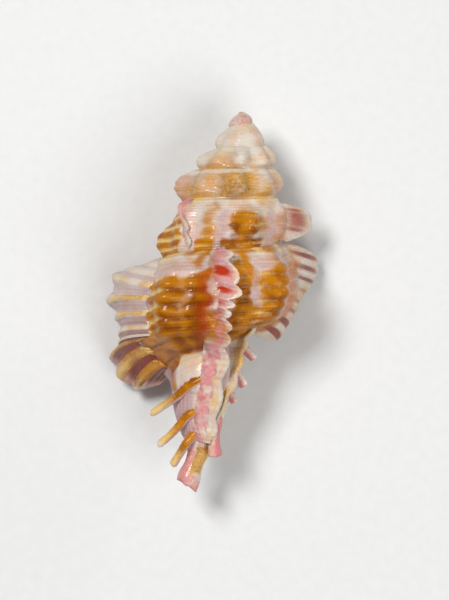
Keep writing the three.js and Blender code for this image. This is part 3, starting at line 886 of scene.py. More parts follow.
    def base_part(self, whorl_points: np.ndarray) -> tuple[np.ndarray, Tints]:
        """Makes the base of the last whorl, which narrows to the pillar.

        Args:
            whorl_points: the points of the whorls, which it joins.

        Returns:
            The grid of points and its tints.
        """
        turn = self.turns()[-self.columns - 1:, None]
        top = self.suture(turn + 1)
        rest = self.join_depth - top - self.contraction
        steps = np.arange(self.contraction_rows + 1) / self.contraction_rows
        pillar = np.arange(1, self.pillar_rows) / self.pillar_rows
        foot = top + self.contraction
        depth = np.concatenate([top + self.contraction * steps, foot + rest * pillar], axis=1)
        own_turn = np.broadcast_to(turn, depth.shape).copy()
        own_turn[0, 0] += 1
        radius, forms = self.surface(own_turn, depth)
        points = self.place(depth, radius, angle_of(turn))
        points[:, 0] = whorl_points[-self.columns - 1:, -1]
        return points, self.colours.tints(forms)

    def canal_part(self) -> tuple[np.ndarray, Tints]:
        """Makes the canal, closed at its end.

        Returns:
            The grid of points and its tints.
        """
        angle = angle_of(self.turns()[-self.columns - 1:, None])
        steps = np.arange(self.canal_rows + 1) / self.canal_rows
        depth = self.join_depth + (self.canal.end - self.join_depth) * steps
        depth = np.broadcast_to(depth, (len(angle), len(depth)))
        radius = smooth_curve(self.core_radius, depth)
        points = self.place(self.canal.ragged(depth, angle), radius, angle)
        points[-1] = points[0]
        points[:, -1] = points[:-1, -2].mean(axis=0)
        return points, self.canal.tints(depth, angle)

    def wall(self, points: np.ndarray, outer: list[int], inner: list[int]) -> np.ndarray:
        """Closes the flat opening between the lip's line and the pillar's line.

        Args:
            points: all points of the strip.
            outer: point numbers down the lip.
            inner: point numbers down the pillar.

        Returns:
            The triangles between the two lines.
        """
        triangles, i, j = [], 0, 0
        while i + 1 < len(outer) or j + 1 < len(inner):
            outer_next = -points[outer[i + 1]][1] if i + 1 < len(outer) else math.inf
            inner_next = -points[inner[j + 1]][1] if j + 1 < len(inner) else math.inf
            if outer_next <= inner_next:
                triangles.append((outer[i], outer[i + 1], inner[j]))
                i += 1
            else:
                triangles.append((outer[i], inner[j + 1], inner[j]))
                j += 1
        return np.array(triangles)


@dataclass(frozen=True)
class Cord:
    """One cord of a fan: its place down the fan, half width, and how deeply it is folded back."""

    at: float
    half: float
    fold: float


@dataclass
class Frill:
    """Where points lie on a fan.

    Down is the share from its top to its foot, and out the share from its root to its edge. Cord is 1
    on a cord and 0 on a web, fold is how far the cord is folded back, and uneven is a waviness.
    """

    down: np.ndarray
    out: np.ndarray
    cord: np.ndarray
    fold: np.ndarray
    uneven: np.ndarray


@dataclass(frozen=True)
class BackColours:
    """How the back of a fan is coloured. Spans are shares out to the edge, or of a cord where so named."""

    body_cord: Span = (0.15, 0.7)
    amber_loss: float = 0.7
    amber_end: Span = (0.5, 1)
    # The groove fields set the maroon in the webs: partly their own red-brown, partly painted shade in the
    # recessed webs.
    groove_loss: float = 0.8
    groove_end: Span = (0.55, 1)
    groove_striae: Span = (1.15, 0.4)
    lilac_web: float = 0.75
    lilac_least: float = 0.1
    lilac_striae: Span = (0.8, 0.3)
    pink_out: Span = (0.3, 1)
    # ridge is a painted highlight along the crests of the cords.
    ridge: float = 0.3
    highlight_cord: Span = (0.85, 1)
    pale_least: float = 0.5
    pale_out: Span = (0.3, 0.8)
    pale_root: Span = (0.02, 0.1)


@dataclass(frozen=True)
class FaceColours:
    """How the face of a fan is coloured, with the same kinds of spans."""

    waver: float = 0.04
    waver_rates: Span = (23, 0.8)
    # The hollow fields place red and maroon in the hollows of the cords: partly their own colour, partly
    # painted shade and bounced light.
    hollow_cord: Span = (0.15, 1)
    hollow_power: float = 0.8
    pink_rise: float = 0.2
    pink_loss: float = 0.6
    pink_end: Span = (0.82, 1)
    patch_rates: Span = (13, 1.3)
    worn_loss: float = 0.6
    worn_patches: Span = (0, 0.7)
    spots: float = 0.6
    spot_patches: Span = (0, 0.8)
    spot_at: float = 0.45
    spot_half: float = 0.5
    amber_end: Span = (0.15, 0.6)
    # The crease fields place maroon painted shade in the webs between the cords.
    crease_web: Span = (0.6, 1)
    crease_at: float = 0.6
    crease_half: float = 0.35
    crest_amber: float = 0.55
    crest_ridge: float = 0.6


BACK = BackColours()
FACE = FaceColours()


@dataclass
class Fan:
    """A frilled fan on a varix: folded cords that end in tips, with thin webs between them.

    Each line holds the depth of the root, then the depth, radius and angle of the edge. Tables of
    pairs run from the top of the fan, 0, to its foot, 1, and spans run from its root, 0, to its edge, 1.
    """

    name: str
    turn: float
    lines: Points
    cords: tuple[Cord, ...]
    notch: float = 0.07
    notch_power: float = 0.3
    edge_sway: float = 0.012
    sways: float = 9
    fold_from: float = 0.15
    fold_to: float = 0.85
    bend: float = 1.4
    backing: Table = 0.9
    facing: Table = 0.9
    back_fall: float = 1.2
    face_fall: float = 1.5
    edge: Table = 0.34
    web: float = 0.75
    rim_from: float = 0.93
    rim_loss: float = 0.9
    ends: Span = (0, 0.06)
    rooted: float = 0.78
    face_rooted: float = 0.78
    sunk: float = 0.9
    septa: float = 0.0
    septa_at: float = 0.6
    septa_half: float = 0.38
    crest_from: float = 0.82
    crest_rise: float = 0.1
    crest_ragged: float = 0.05
    crest_blend: float = 0.18
    crest_blend_ragged: float = 0.06
    crest_height: float = 0.0
    scaly: float = 0.0
    scale_rows: float = 26
    scale_columns: float = 2
    scale_wear: float = 7
    scaly_down: Span = (0.62, 0.7)
    scaly_out: Span = (0.1, 0.3)
    growth: float = 0.03
    growth_lines: float = 9
    growth_sway: float = 0.3
    growth_out: Span = (0.3, 0.6)
    growth_rate: float = 0.2
    face_growth: float = 0.5
    thread: float = 0.035
    threads_a_cord: int = 5
    thread_out: Span = (0.2, 0.5)
    thread_rate: float = 14
    amber: Table = ((0, 0.6), (1, 0.9))
    # groove: maroon in the webs of the back, partly their own red-brown and partly painted shade.
    groove: Table = ((0, 0.2), (1, 0.6))
    lilac: Table = 0.6
    pale: Table = 0.6
    back_pink: Table = 0.4
    face_pink: Table = 0.85
    # The face's red here and its maroon below fill the hollows of its cords: partly the frills' own colour,
    # partly painted shade and bounced light.
    face_red_and_shade: Table = 0.8
    face_amber: Table = 0.5
    face_maroon_and_shade: Table = 0.0
    pale_crest: Table = 0.0
    pink_from: Table = 0.1
    hollow_middle: float = 0.5
    hollow_half: float = 0.45
    # crease: maroon painted shade in the webs between the face's cords, and their lilac.
    crease: float = 0.5
    rows: int = 130
    steps: int = 26

    def reading(self, column: int, down: np.ndarray) -> np.ndarray:
        """Reads one column of the lines at a share down the fan."""
        last = len(self.lines) - 1
        return smooth_curve(tuple((i / last, line[column]) for i, line in enumerate(self.lines)), down)

    def skin(self, whorls: Whorls) -> Skin:
        """Makes the fan.

        Args:
            whorls: the shell that the fan stands on.

        Returns:
            The closed skin of the fan.
        """
        frill = self.frill()
        down, out = frill.down, frill.out
        columns = range(len(self.lines[0]))
        root_depth, edge_depth, edge_radius, edge_angle = (self.reading(column, down) for column in columns)
        reach = 1 - self.notch * (1 - frill.cord ** self.notch_power) + self.edge_sway * frill.uneven
        far = out * reach
        depth = root_depth + (edge_depth - root_depth) * far
        sunk = np.ones_like(out)
        sunk[0, 0] = self.sunk
        root = whorls.surface(np.full_like(down, self.turn), root_depth)[0]
        back_turn = self.turn - smooth_curve(self.backing, down) / root / FULL
        back_root = whorls.surface(back_turn, root_depth)[0] * self.rooted
        face_root = root * self.face_rooted
        back_radius = back_root + (edge_radius - back_root) * far
        face_radius = face_root + (edge_radius - face_root) * far
        base_angle = float(angle_of(self.turn)) % FULL
        turned = np.radians(edge_angle) - base_angle
        swing = np.arctan2(np.sin(turned), np.cos(turned))
        fold_back = frill.fold * ramp((self.fold_from, self.fold_to), out) / edge_radius
        middle = base_angle + swing * far ** self.bend - fold_back
        behind, ahead = self.thickness(frill)
        back = whorls.place(depth, back_radius * sunk, middle - behind / back_radius)
        face = whorls.place(depth, face_radius * sunk, middle + ahead / face_radius)
        return self.closed(back, face, self.back_tints(frill), self.face_tints(frill))

    def frill(self) -> Frill:
        """Lays out the points of the fan and finds its cords.

        Returns:
            Where the points lie. The root comes twice: sunk into the shell, and on it.
        """
        down = np.linspace(0, 1, self.rows + 1)[:, None]
        out = np.concatenate([[0], np.linspace(0, 1, self.steps)])[None, :]
        cord = np.zeros_like(down)
        fold = np.zeros_like(down)
        for one in self.cords:
            form = hump(down - one.at, one.half)
            cord = np.maximum(cord, form)
            fold = fold + one.fold * np.sqrt(form)
        return Frill(down, out, cord, fold, ripple(down * self.sways, np.zeros_like(down)))

    def thickness(self, frill: Frill) -> tuple[np.ndarray, np.ndarray]:
        """Finds how far each side stands from the middle of the fan.

        Args:
            frill: where the points lie.

        Returns:
            The distance to the back and to the face.
        """
        down, out, cord = frill.down, frill.out, frill.cord
        half = smooth_curve(self.edge, down) / 2
        rounded = np.clip((out - self.rim_from) / (1 - self.rim_from), 0, 1)
        rim = (self.web + (1 - self.web) * cord) * np.sqrt(1 - self.rim_loss * rounded ** 2)
        ends = ramp(self.ends, down) * ramp(self.ends, 1 - down)
        backing, facing = smooth_curve(self.backing, down), smooth_curve(self.facing, down)
        behind = half * rim + np.maximum(backing - half, 0) * (1 - out) ** self.back_fall * ends
        ahead = half * rim + np.maximum(facing - half, 0) * (1 - out) ** self.face_fall * ends
        ahead = ahead + self.septa * (1 - cord) ** 2 * hump(out - self.septa_at, self.septa_half) * ends
        ahead = ahead + self.crest_height * self.crest(frill, self.crest_rise, self.crest_ragged) * ends
        scales = self.scaly * ripple(down * self.scale_rows, out * self.scale_columns)
        ahead = ahead + scales * ramp(self.scaly_down, down) * ramp(self.scaly_out, out) * ends
        lines = np.sin(FULL * (out * self.growth_lines + self.growth_sway * frill.uneven))
        lines = self.growth * lines * ramp(self.growth_out, out)
        threads = self.thread * np.cos(FULL * down * self.thread_count()) * ramp(self.thread_out, out)
        return behind + threads + lines, ahead + self.face_growth * lines

    def thread_count(self) -> int:
        """The number of fine threads over the whole fan."""
        return len(self.cords) * self.threads_a_cord

    def crest(self, frill: Frill, rise: float, ragged: float) -> np.ndarray:
        """Finds the pale rim along the edge of the face.

        Args:
            frill: where the points lie.
            rise: the share over which it comes in.
            ragged: how uneven its border is.

        Returns:
            1 on the rim and 0 below it.
        """
        place = frill.out + ragged * ripple(frill.down * self.sways, frill.out)
        edge = ramp((self.crest_from, self.crest_from + rise), place)
        return edge * smooth_curve(self.pale_crest, frill.down)

    def back_tints(self, frill: Frill) -> Tints:
        """Colours the side that looks back over the whorl: amber cords that fade, with a painted highlight on
        their crests, and lilac webs with maroon that is partly painted shade.

        Args:
            frill: where the points lie.

        Returns:
            The tints that aren't 0.
        """
        down, out, cord = frill.down, frill.out, frill.cord
        body = ramp(BACK.body_cord, cord)
        web = 1 - body
        striae = wave(down * self.thread_count())
        amber = smooth_curve(self.amber, down) * body * (1 - BACK.amber_loss * ramp(BACK.amber_end, out))
        # Maroon in the webs: partly their own red-brown, partly painted shade.
        groove = smooth_curve(self.groove, down) * web * (1 - BACK.groove_loss * ramp(BACK.groove_end, out))
        lilac = smooth_curve(self.lilac, down) * (web * BACK.lilac_web + BACK.lilac_least)
        pink = smooth_curve(self.back_pink, down)
        cream = smooth_curve(self.pale, down)
        # Painted highlight: paler along the crests of the cords.
        pale = (cream + BACK.ridge * ramp(BACK.highlight_cord, cord)) * body
        pale = pale * (BACK.pale_least + (1 - BACK.pale_least) * ramp(BACK.pale_out, out))
        most, less = BACK.groove_striae
        least, more = BACK.lilac_striae
        return {Tint.AMBER: amber, Tint.MAROON: groove * (most - less * striae),
                Tint.LILAC: lilac * (least + more * striae),
                Tint.PINK: pink * np.maximum(web, pink) * ramp(BACK.pink_out, out),
                Tint.RIDGE: np.maximum(pale, cream * (1 - ramp(BACK.pale_root, out))),
                Tint.GROWTH: out * self.growth_rate, Tint.THREAD: down * self.thread_rate}

    def face_tints(self, frill: Frill) -> Tints:
        """Colours the side that looks forward: pink frills, with red and maroon in the hollows of their cords
        that are partly their own colour and partly painted shade, and maroon painted shade in the creases.

        Args:
            frill: where the points lie.

        Returns:
            The tints that aren't 0.
        """
        down, out, cord = frill.down, frill.out, frill.cord
        waver = FACE.waver * ripple(down * FACE.waver_rates[0], out * FACE.waver_rates[1])
        hollow = hump(out - self.hollow_middle + waver, self.hollow_half) ** FACE.hollow_power
        hollow = ramp(FACE.hollow_cord, cord) * hollow
        crest = self.crest(frill, self.crest_blend, self.crest_blend_ragged)
        first_pink = smooth_curve(self.pink_from, down)
        pink = smooth_curve(self.face_pink, down) * np.clip((out - first_pink) / FACE.pink_rise, 0, 1)
        pink = pink * (1 - FACE.pink_loss * ramp(FACE.pink_end, out))
        patches = ripple(down * FACE.patch_rates[0], out * FACE.patch_rates[1])
        worn = self.scale_wear * self.scaly * ramp(self.scaly_down, down)
        pink = pink * (1 - FACE.worn_loss * worn * ramp(FACE.worn_patches, patches))
        spots = ramp(FACE.spot_patches, -patches) * hump(out - FACE.spot_at, FACE.spot_half)
        spots = FACE.spots * worn * spots
        # Red in the hollows: partly the frills' own red, partly painted shade and bounced light.
        red = np.maximum(smooth_curve(self.face_red_and_shade, down) * hollow, spots)
        amber = smooth_curve(self.face_amber, down) * (1 - ramp(FACE.amber_end, out - first_pink))
        # Painted shade: maroon in the creases of the webs between the cords.
        crease = self.crease * ramp(FACE.crease_web, 1 - cord) * hump(out - FACE.crease_at, FACE.crease_half)
        crease = crease * (1 - smooth_curve(self.pale_crest, down))
        maroon = np.maximum(smooth_curve(self.face_maroon_and_shade, down) * hollow, crease * (1 - crest))
        return {Tint.PINK: pink * (1 - crest), Tint.RED: red * (1 - crest), Tint.MAROON: maroon,
                Tint.LILAC: self.crease * (1 - cord),
                Tint.AMBER: np.maximum(amber, FACE.crest_amber * crest), Tint.RIDGE: FACE.crest_ridge * crest,
                Tint.GROWTH: out * self.growth_rate, Tint.THREAD: down * self.thread_rate}

    def closed(self, back: np.ndarray, face: np.ndarray, back_tints: Tints, face_tints: Tints) -> Skin:
        """Joins the two sides along their borders.

        Args:
            back: the grid of points on the back.
            face: the grid of points on the face.
            back_tints: the tints of the back.
            face_tints: the tints of the face.

        Returns:
            The closed skin.
        """
        shape = back.shape[:2]
        size = shape[0] * shape[1]
        near = np.arange(size).reshape(shape)
        far = near + size
        triangles = [grid_triangles(near), grid_triangles(far)[:, ::-1]]
        for border in (np.s_[:, 0], np.s_[-1, :], np.s_[::-1, -1], np.s_[0, ::-1]):
            triangles.append(grid_triangles(np.stack([far[border], near[border]], 1)))
        tints = {}
        for tint in Tint:
            sides = [np.broadcast_to(side.get(tint, 0.0), shape).ravel() for side in (back_tints, face_tints)]
            tints[tint] = np.concatenate(sides).astype(float)
        points = np.concatenate([back.reshape(-1, 3), face.reshape(-1, 3)])
        return Skin(points, np.concatenate(triangles), tints).merged()


@dataclass
class Spine:
    """A hollow spine of the canal: a tapered rod with a channel along its leading side.

    The path gives places on the shell, and the channel the direction that the open side looks in.
    """

    name: str
    path: Points
    radius: Span
    amber: float = 1.0
    pink: float = 0.05
    under_pink: float = 0.7
    channel: tuple[float, float, float] = (0.5, -0.85, 0.1)
    opening: float = 0.15
    opening_power: float = 1.4
    groove: float = 0.5
    groove_out: Span = (0.1, 0.5)
    uneven: float = 0.05
    uneven_rate: float = 6
    end_from: float = 0.95
    end_loss: float = 0.8
    fade: Span = (0.72, 1.05)
    least_amber: float = 0.3
    pale: float = 0.8
    pale_out: Span = (0.4, 0.9)
    # brown: painted shade in the channel beneath the spine, strongest at the root.
    brown: float = 0.3
    growth_rate: float = 0.2
    sides: int = 20
    steps: int = 30

    def skin(self) -> Skin:
        """Makes the spine as a closed tube.

        Returns:
            The closed skin.
        """
        out = np.linspace(0, 1, self.steps + 1)
        centre, up, side, turned = self.rings(out)
        around = np.linspace(0, FULL, self.sides, endpoint=False)
        towards = np.where(turned, np.cos(around + math.pi), np.cos(around))
        open_side = np.clip(towards + self.opening, 0, 1) ** self.opening_power
        size = self.radius[0] + (self.radius[1] - self.radius[0]) * out
        end = np.clip((out - self.end_from) / (1 - self.end_from), 0, 1)
        size = size * (1 + self.uneven * ripple(out * self.uneven_rate, out))
        size = size * np.sqrt(1 - self.end_loss * end ** 2)
        radius = size[:, None] * (1 - self.groove * open_side * ramp(self.groove_out, out)[:, None])
        upward = np.cos(around)[None, :, None] * up[:, None, :]
        sideways = np.sin(around)[None, :, None] * side[:, None, :]
        points = centre[:, None, :] + radius[..., None] * (upward + sideways)
        index = np.arange(radius.size).reshape(radius.shape)
        tints = all_tints(radius.size, self.tints(out[:, None], 1 - open_side))
        return Skin(points.reshape(-1, 3), tube_triangles(index), tints).merged()

    def rings(self, out: np.ndarray) -> tuple[np.ndarray, np.ndarray, np.ndarray, np.ndarray]:
        """Places the rings of the tube along the path.

        Args:
            out: the share along the spine.

        Returns:
            The centres, the upward and sideways directions, and whether up points away from the channel.
        """
        knots = np.array([(across, -depth, height) for across, depth, height in self.path])
        spans = np.concatenate([[0], np.cumsum(np.linalg.norm(np.diff(knots, axis=0), axis=1))])
        tables = [tuple(zip(spans, column)) for column in knots.T]
        centre = np.stack([smooth_curve(table, out * spans[-1]) for table in tables], 1)
        tangent = np.gradient(centre, axis=0)
        tangent /= np.linalg.norm(tangent, axis=1, keepdims=True)
        channel = np.array(self.channel) / np.linalg.norm(self.channel)
        side = np.cross(tangent, channel)
        side /= np.linalg.norm(side, axis=1, keepdims=True)
        up = np.cross(side, tangent)
        return centre, up, side, (np.sum(up * channel, axis=1) < 0)[:, None]

    def tints(self, out: np.ndarray, top: np.ndarray) -> Tints:
        """Colours the spine: amber above, pink in its channel, paler towards the end, with brown painted
        shade in the channel near the root.

        Args:
            out: the share along the spine.
            top: 1 above and 0 in the channel.

        Returns:
            The tints that aren't 0, one number a point.
        """
        fade = 1 - ramp(self.fade, out)
        # The brown in the channel near the root is painted shade.
        tints = {Tint.AMBER: self.amber * top * (self.least_amber + (1 - self.least_amber) * fade),
                 Tint.PINK: self.under_pink * (1 - top) + self.pink,
                 Tint.RIDGE: self.pale * top * ramp(self.pale_out, out),
                 Tint.BROWN: self.brown * (1 - top) * fade, Tint.GROWTH: out * self.growth_rate}
        return {tint: np.broadcast_to(value, top.shape).ravel() for tint, value in tints.items()}


@dataclass
class Hollow:
    """The hollow behind the lip, which follows the body whorl back and shrinks."""

    turns: float = 0.44
    centre_radius: float = 5.7
    centre_depth: float = 25.1
    half_width: float = 3.5
    half_height: float = 4.6
    rise: float = 8.0
    draw: float = 3.3
    mouth: float = 0.05
    taper: float = 1.08
    least: float = 0.04
    roundness: float = 0.4
    pink: float = 0.15
    sides: int = 64
    steps: int = 40

    def skin(self) -> Skin:
        """Makes the solid that is cut away.

        Returns:
            The closed skin of the cutter.
        """
        back = (-self.mouth + (self.turns + self.mouth) * np.linspace(0, 1, self.steps + 1))[:, None]
        size = np.maximum(1 - back / (self.turns * self.taper), self.least) ** self.roundness
        inside = np.maximum(back, 0)
        around = np.linspace(0, FULL, self.sides, endpoint=False)[None, :]
        radius = self.centre_radius - self.draw * inside + self.half_width * size * np.cos(around)
        depth = self.centre_depth - self.rise * inside + self.half_height * size * np.sin(around)
        angle = angle_of(LIP_TURN - back)
        points = np.stack([radius * np.cos(angle), -depth, radius * np.sin(angle)], -1)
        index = np.arange(radius.size).reshape(radius.shape)
        tints = all_tints(radius.size, {Tint.PLAIN: 1.0, Tint.PINK: self.pink})
        return Skin(points.reshape(-1, 3), tube_triangles(index), tints).merged()


@dataclass
class Slit:
    """The narrow open slit along the underside of the canal."""

    bend: Points
    start: float = 27.0
    end: float = 46.0
    width: float = 0.7
    floor: float = -0.2
    bottom: float = -8.0
    pink: float = 0.3
    steps: int = 12

    def skin(self) -> Skin:
        """Makes the solid that is cut away.

        Returns:
            The closed skin of the cutter.
        """
        depth = np.linspace(self.start, self.end, self.steps)
        centre = smooth_curve(self.bend, depth)
        half = self.width / 2
        corners = ((-half, self.floor), (half, self.floor), (half, self.bottom), (-half, self.bottom))
        points = np.stack([np.stack([centre + x, -depth, np.full_like(depth, z)], 1) for x, z in corners], 1)
        index = np.arange(len(depth) * len(corners)).reshape(len(depth), len(corners))
        tints = all_tints(index.size, {Tint.PLAIN: 1.0, Tint.PINK: self.pink})
        return Skin(points.reshape(-1, 3), tube_triangles(index), tints).merged()


FANS = (
    Fan("lip", 6.325,
        ((17.5, 17.6, 7.8, 210), (18.9, 18.7, 9.7, 213), (20.1, 19.6, 12.3, 212), (21.5, 20.9, 14.6, 211),
         (23, 23.9, 14.9, 212), (24.7, 26, 13.5, 213), (26.4, 28, 12.8, 214), (27.3, 29.4, 12.9, 214),
         (28, 30.8, 13.2, 214), (29, 32.7, 11.5, 215), (30.3, 33.9, 9.1, 215), (31.6, 33, 6.2, 214)),
        (Cord(0.1, 0.035, 0.4), Cord(0.18, 0.045, 0.7), Cord(0.27, 0.04, 0.7), Cord(0.364, 0.032, 0.9),
         Cord(0.455, 0.03, 0.9), Cord(0.54, 0.03, 0.9), Cord(0.625, 0.025, 0.4), Cord(0.71, 0.055, 1.5),
         Cord(0.82, 0.055, 1.5), Cord(0.915, 0.04, 0.8)),
        amber=((0, 0.05), (0.18, 0.1), (0.27, 0.4), (0.364, 0.7), (0.455, 0.65), (0.54, 0.4), (0.625, 0.2),
               (0.7, 2.2), (0.82, 2.2), (0.915, 1.6)),
        groove=((0, 0), (0.2, 0.05), (0.32, 0.2), (0.5, 0.4), (0.6, 0.6), (0.68, 1), (0.88, 1.1),
                (0.97, 0.7), (1, 0.6)),
        pale=((0, 1), (0.5, 1), (0.64, 0.9), (0.7, 0.55), (0.82, 0.6), (0.92, 0.3)),
        lilac=((0, 0.45), (0.4, 0.95), (0.62, 0.9), (0.7, 0.2), (1, 0.2)),
        back_pink=((0, 0.4), (0.6, 0.5), (0.7, 0.7), (1, 0.7)),
        backing=((0, 2.5), (0.12, 7), (0.3, 9), (0.6, 9), (0.75, 7), (0.88, 4.5), (1, 1.5)), rooted=1.01,
        notch=0.05, fold_from=0, rows=200, steps=34),
    Fan("back", 6.015,
        ((16.1, 15.9, 7.2, 90), (16.8, 16.6, 9.8, 88), (18.2, 18.4, 10.6, 84), (20, 20.6, 10.9, 79),
         (21.6, 22.3, 10.5, 82), (23, 23.6, 10.1, 83), (24.8, 25.4, 9.2, 80), (26.9, 27.3, 7.4, 78),
         (29.4, 29.8, 5.5, 72), (32.8, 33.2, 4.6, 62), (36.5, 36.9, 3.6, 56), (38.5, 38.9, 3.1, 61)),
        (Cord(0.09, 0.045, 0.7), Cord(0.2, 0.055, 0.6), Cord(0.3, 0.045, 0.7), Cord(0.385, 0.035, 0.6),
         Cord(0.455, 0.035, 0.4), Cord(0.53, 0.035, 0.3), Cord(0.61, 0.04, 0.3), Cord(0.71, 0.06, 0.4),
         Cord(0.83, 0.05, 0.12), Cord(0.93, 0.05, 0.12)), notch=0.08,
        edge=((0, 0.4), (0.35, 0.4), (0.5, 0.7), (0.7, 1), (0.9, 1.1), (1, 0.9)),
        facing=((0, 1), (0.2, 1.4), (0.5, 1.4), (0.75, 0.9), (1, 0.5)), rooted=0.9, face_rooted=0.87,
        amber=((0, 0.2), (0.3, 0.3), (0.5, 0.35), (0.75, 0.2), (1, 0.1)),
        groove=((0, 0), (0.3, 0.3), (0.5, 0.2), (0.7, 0), (1, 0)),
        face_red_and_shade=((0, 0.3), (0.1, 0.5), (0.2, 1.4), (0.3, 1.1), (0.4, 0.5), (0.5, 0.2), (0.7, 0.3),
                  (0.8, 0), (1, 0)), face_pink=((0, 0.8), (0.5, 0.8), (0.65, 1), (0.75, 0.9), (1, 0.8)),
        face_maroon_and_shade=((0, 0.2), (0.12, 0.2), (0.2, 0.6), (0.3, 0.6), (0.4, 0.2), (1, 0)),
        pink_from=((0, 0.1), (0.15, 0.2), (0.35, 0.35), (0.45, 0.58), (0.62, 0.62), (0.7, 0.15), (1, 0)),
        hollow_middle=0.6, hollow_half=0.34, septa=0.4, lilac=((0, 1), (0.3, 0.6), (1, 0.6)),
        back_pink=((0, 0.9), (0.2, 0.8), (0.35, 0.7), (0.6, 0.6), (0.7, 0.2), (1, 0.2)),
        face_amber=((0, 0.2), (0.15, 0.5), (0.3, 0.7), (0.55, 0.8), (0.7, 0.2), (1, 0)),
        pale_crest=((0, 0), (0.68, 0), (0.76, 1), (1, 1)), crest_from=0.84, crest_height=0.3, scaly=0.12,
        rows=200, steps=24),
    Fan("right", 5.725,
        ((14.2, 14.5, 8.9, -18), (14.8, 15.2, 11.7, -23), (15.7, 16.4, 12.7, -26), (17.2, 18, 13, -28),
         (18.6, 19.4, 12.6, -31), (20.2, 21.3, 11.7, -34), (21.6, 22.9, 11.3, -34), (23, 24.6, 10.3, -32),
         (24.4, 26.2, 8.9, -31), (25.4, 26, 6.8, -28)),
        (Cord(0.18, 0.07, 0.8), Cord(0.295, 0.05, 0.8), Cord(0.395, 0.045, 0.8), Cord(0.49, 0.035, 0.6),
         Cord(0.57, 0.035, 0.6), Cord(0.66, 0.045, 0.8), Cord(0.765, 0.05, 1), Cord(0.85, 0.045, 0.9)),
        face_pink=0.35, face_red_and_shade=((0, 0.1), (0.6, 0.3), (1, 0.5)),
        face_maroon_and_shade=((0, 0.85), (0.45, 0.85), (0.5, 0.4), (0.65, 0.6), (0.75, 1.2), (1, 1.2)),
        hollow_middle=0.62, hollow_half=0.6, septa=0.4, crease=0.1,
        face_amber=((0, 0.3), (0.5, 0.6), (1, 0.7)), notch=0.2, facing=2.0, rows=140, steps=24),
    Fan("upper_right", 4.79,
        ((10, 10, 6.6, 6), (10.4, 10.2, 8.2, 0), (11.1, 11, 9.7, -4), (12.1, 12.3, 9.9, -4),
         (13.2, 13.5, 8.9, -3), (14.1, 14.4, 7.4, 2)),
        (Cord(0.5, 0.4, 1.2), Cord(0.3, 0.1, 0.2), Cord(0.5, 0.1, 0.2), Cord(0.7, 0.1, 0.2)),
        face_pink=0.45, face_red_and_shade=0.5, face_maroon_and_shade=0.6, hollow_middle=0.6, hollow_half=0.42, crease=0.1,
        notch=0.1, rows=80, steps=24),
    Fan("upper_left", 5.15,
        ((11, 10.9, 6.4, 142), (12, 12, 7.8, 144), (13.2, 13.5, 7.7, 134), (14.4, 14.8, 7.5, 129),
         (15.8, 16.1, 7.1, 127), (17, 17.2, 6.6, 126)),
        (Cord(0.2, 0.14, 0.5), Cord(0.48, 0.14, 0.3), Cord(0.75, 0.12, 0.2)), edge=0.7,
        amber=((0, 0), (1, 0.3)), face_red_and_shade=0.0, back_pink=((0, 1), (0.3, 0.9), (1, 0.5)),
        face_pink=((0, 1), (1, 0.8)), pink_from=0.0, face_amber=((0, 0), (1, 0.3)), pale=0.2, rows=80,
        steps=20),
    Fan("side", 5.87,
        ((24.5, 24.5, 7.6, 52), (26, 26.2, 6, 50), (28, 28.2, 5.2, 45), (31, 31.2, 4.9, 45),
         (34, 34.3, 4.1, 48), (37, 37.3, 3.2, 52)),
        (Cord(0.1, 0.07, 0.25), Cord(0.28, 0.07, 0.3), Cord(0.46, 0.07, 0.3), Cord(0.64, 0.07, 0.3),
         Cord(0.82, 0.07, 0.25)), amber=((0, 0.5), (0.3, 0.15), (1, 0)), face_pink=((0, 0), (1, 0.2)),
        face_red_and_shade=0.0, face_amber=((0, 0.4), (0.2, 0.1), (1, 0)), pale_crest=1.0, crest_from=0.45,
        edge=((0, 0.8), (1, 0.7)), groove=0.0, lilac=0.3, rows=90, steps=14),
)

SPINES = (
    Spine("canal_spine_1",
        ((1.1, 31.3, 2.6), (-0.2, 31.4, 3.5), (-1.5, 32.2, 3.4), (-3, 33.8, 2.6), (-4.4, 35.1, 2.1),
         (-6, 36.5, 1.6)), (0.8, 0.58)),
    Spine("canal_spine_2",
        ((1.1, 35.2, 1.5), (-0.2, 35.1, 2.4), (-1.4, 35.8, 2.5), (-2.4, 37.2, 2.1), (-3.4, 38.6, 1.7),
         (-4.7, 40, 1.3)), (0.75, 0.58)),
    Spine("canal_spine_3",
        ((0.9, 37.7, 0.9), (-0.2, 37.8, 1.7), (-1.2, 39, 1.7), (-2, 40.6, 1.5), (-2.7, 42.1, 1.2)),
        (0.75, 0.62)),
    Spine("old_spine_1", ((2.8, 26.9, 1.6), (4.1, 27.8, 1.4), (5, 28.5, 1.2)), (0.7, 0.6), amber=0,
        pink=0.4),
    Spine("old_spine_2", ((2.2, 29.3, 1.8), (3.1, 30.4, 1.5), (4.3, 31.8, 1.2)), (0.7, 0.6), amber=0,
        pink=0.3),
    Spine("old_spine_3", ((2.2, 32.6, 1.6), (3, 33.3, 1.4), (3.4, 33.8, 1.2)), (0.55, 0.45), amber=0,
        pink=0.3),
    Spine("old_tip", ((1.4, 35.5, 1.9), (1.7, 37, 1.8), (1.8, 38.5, 1.7), (2.2, 40.3, 1.5)), (0.75, 1.0),
        amber=0, pink=0.55),
)


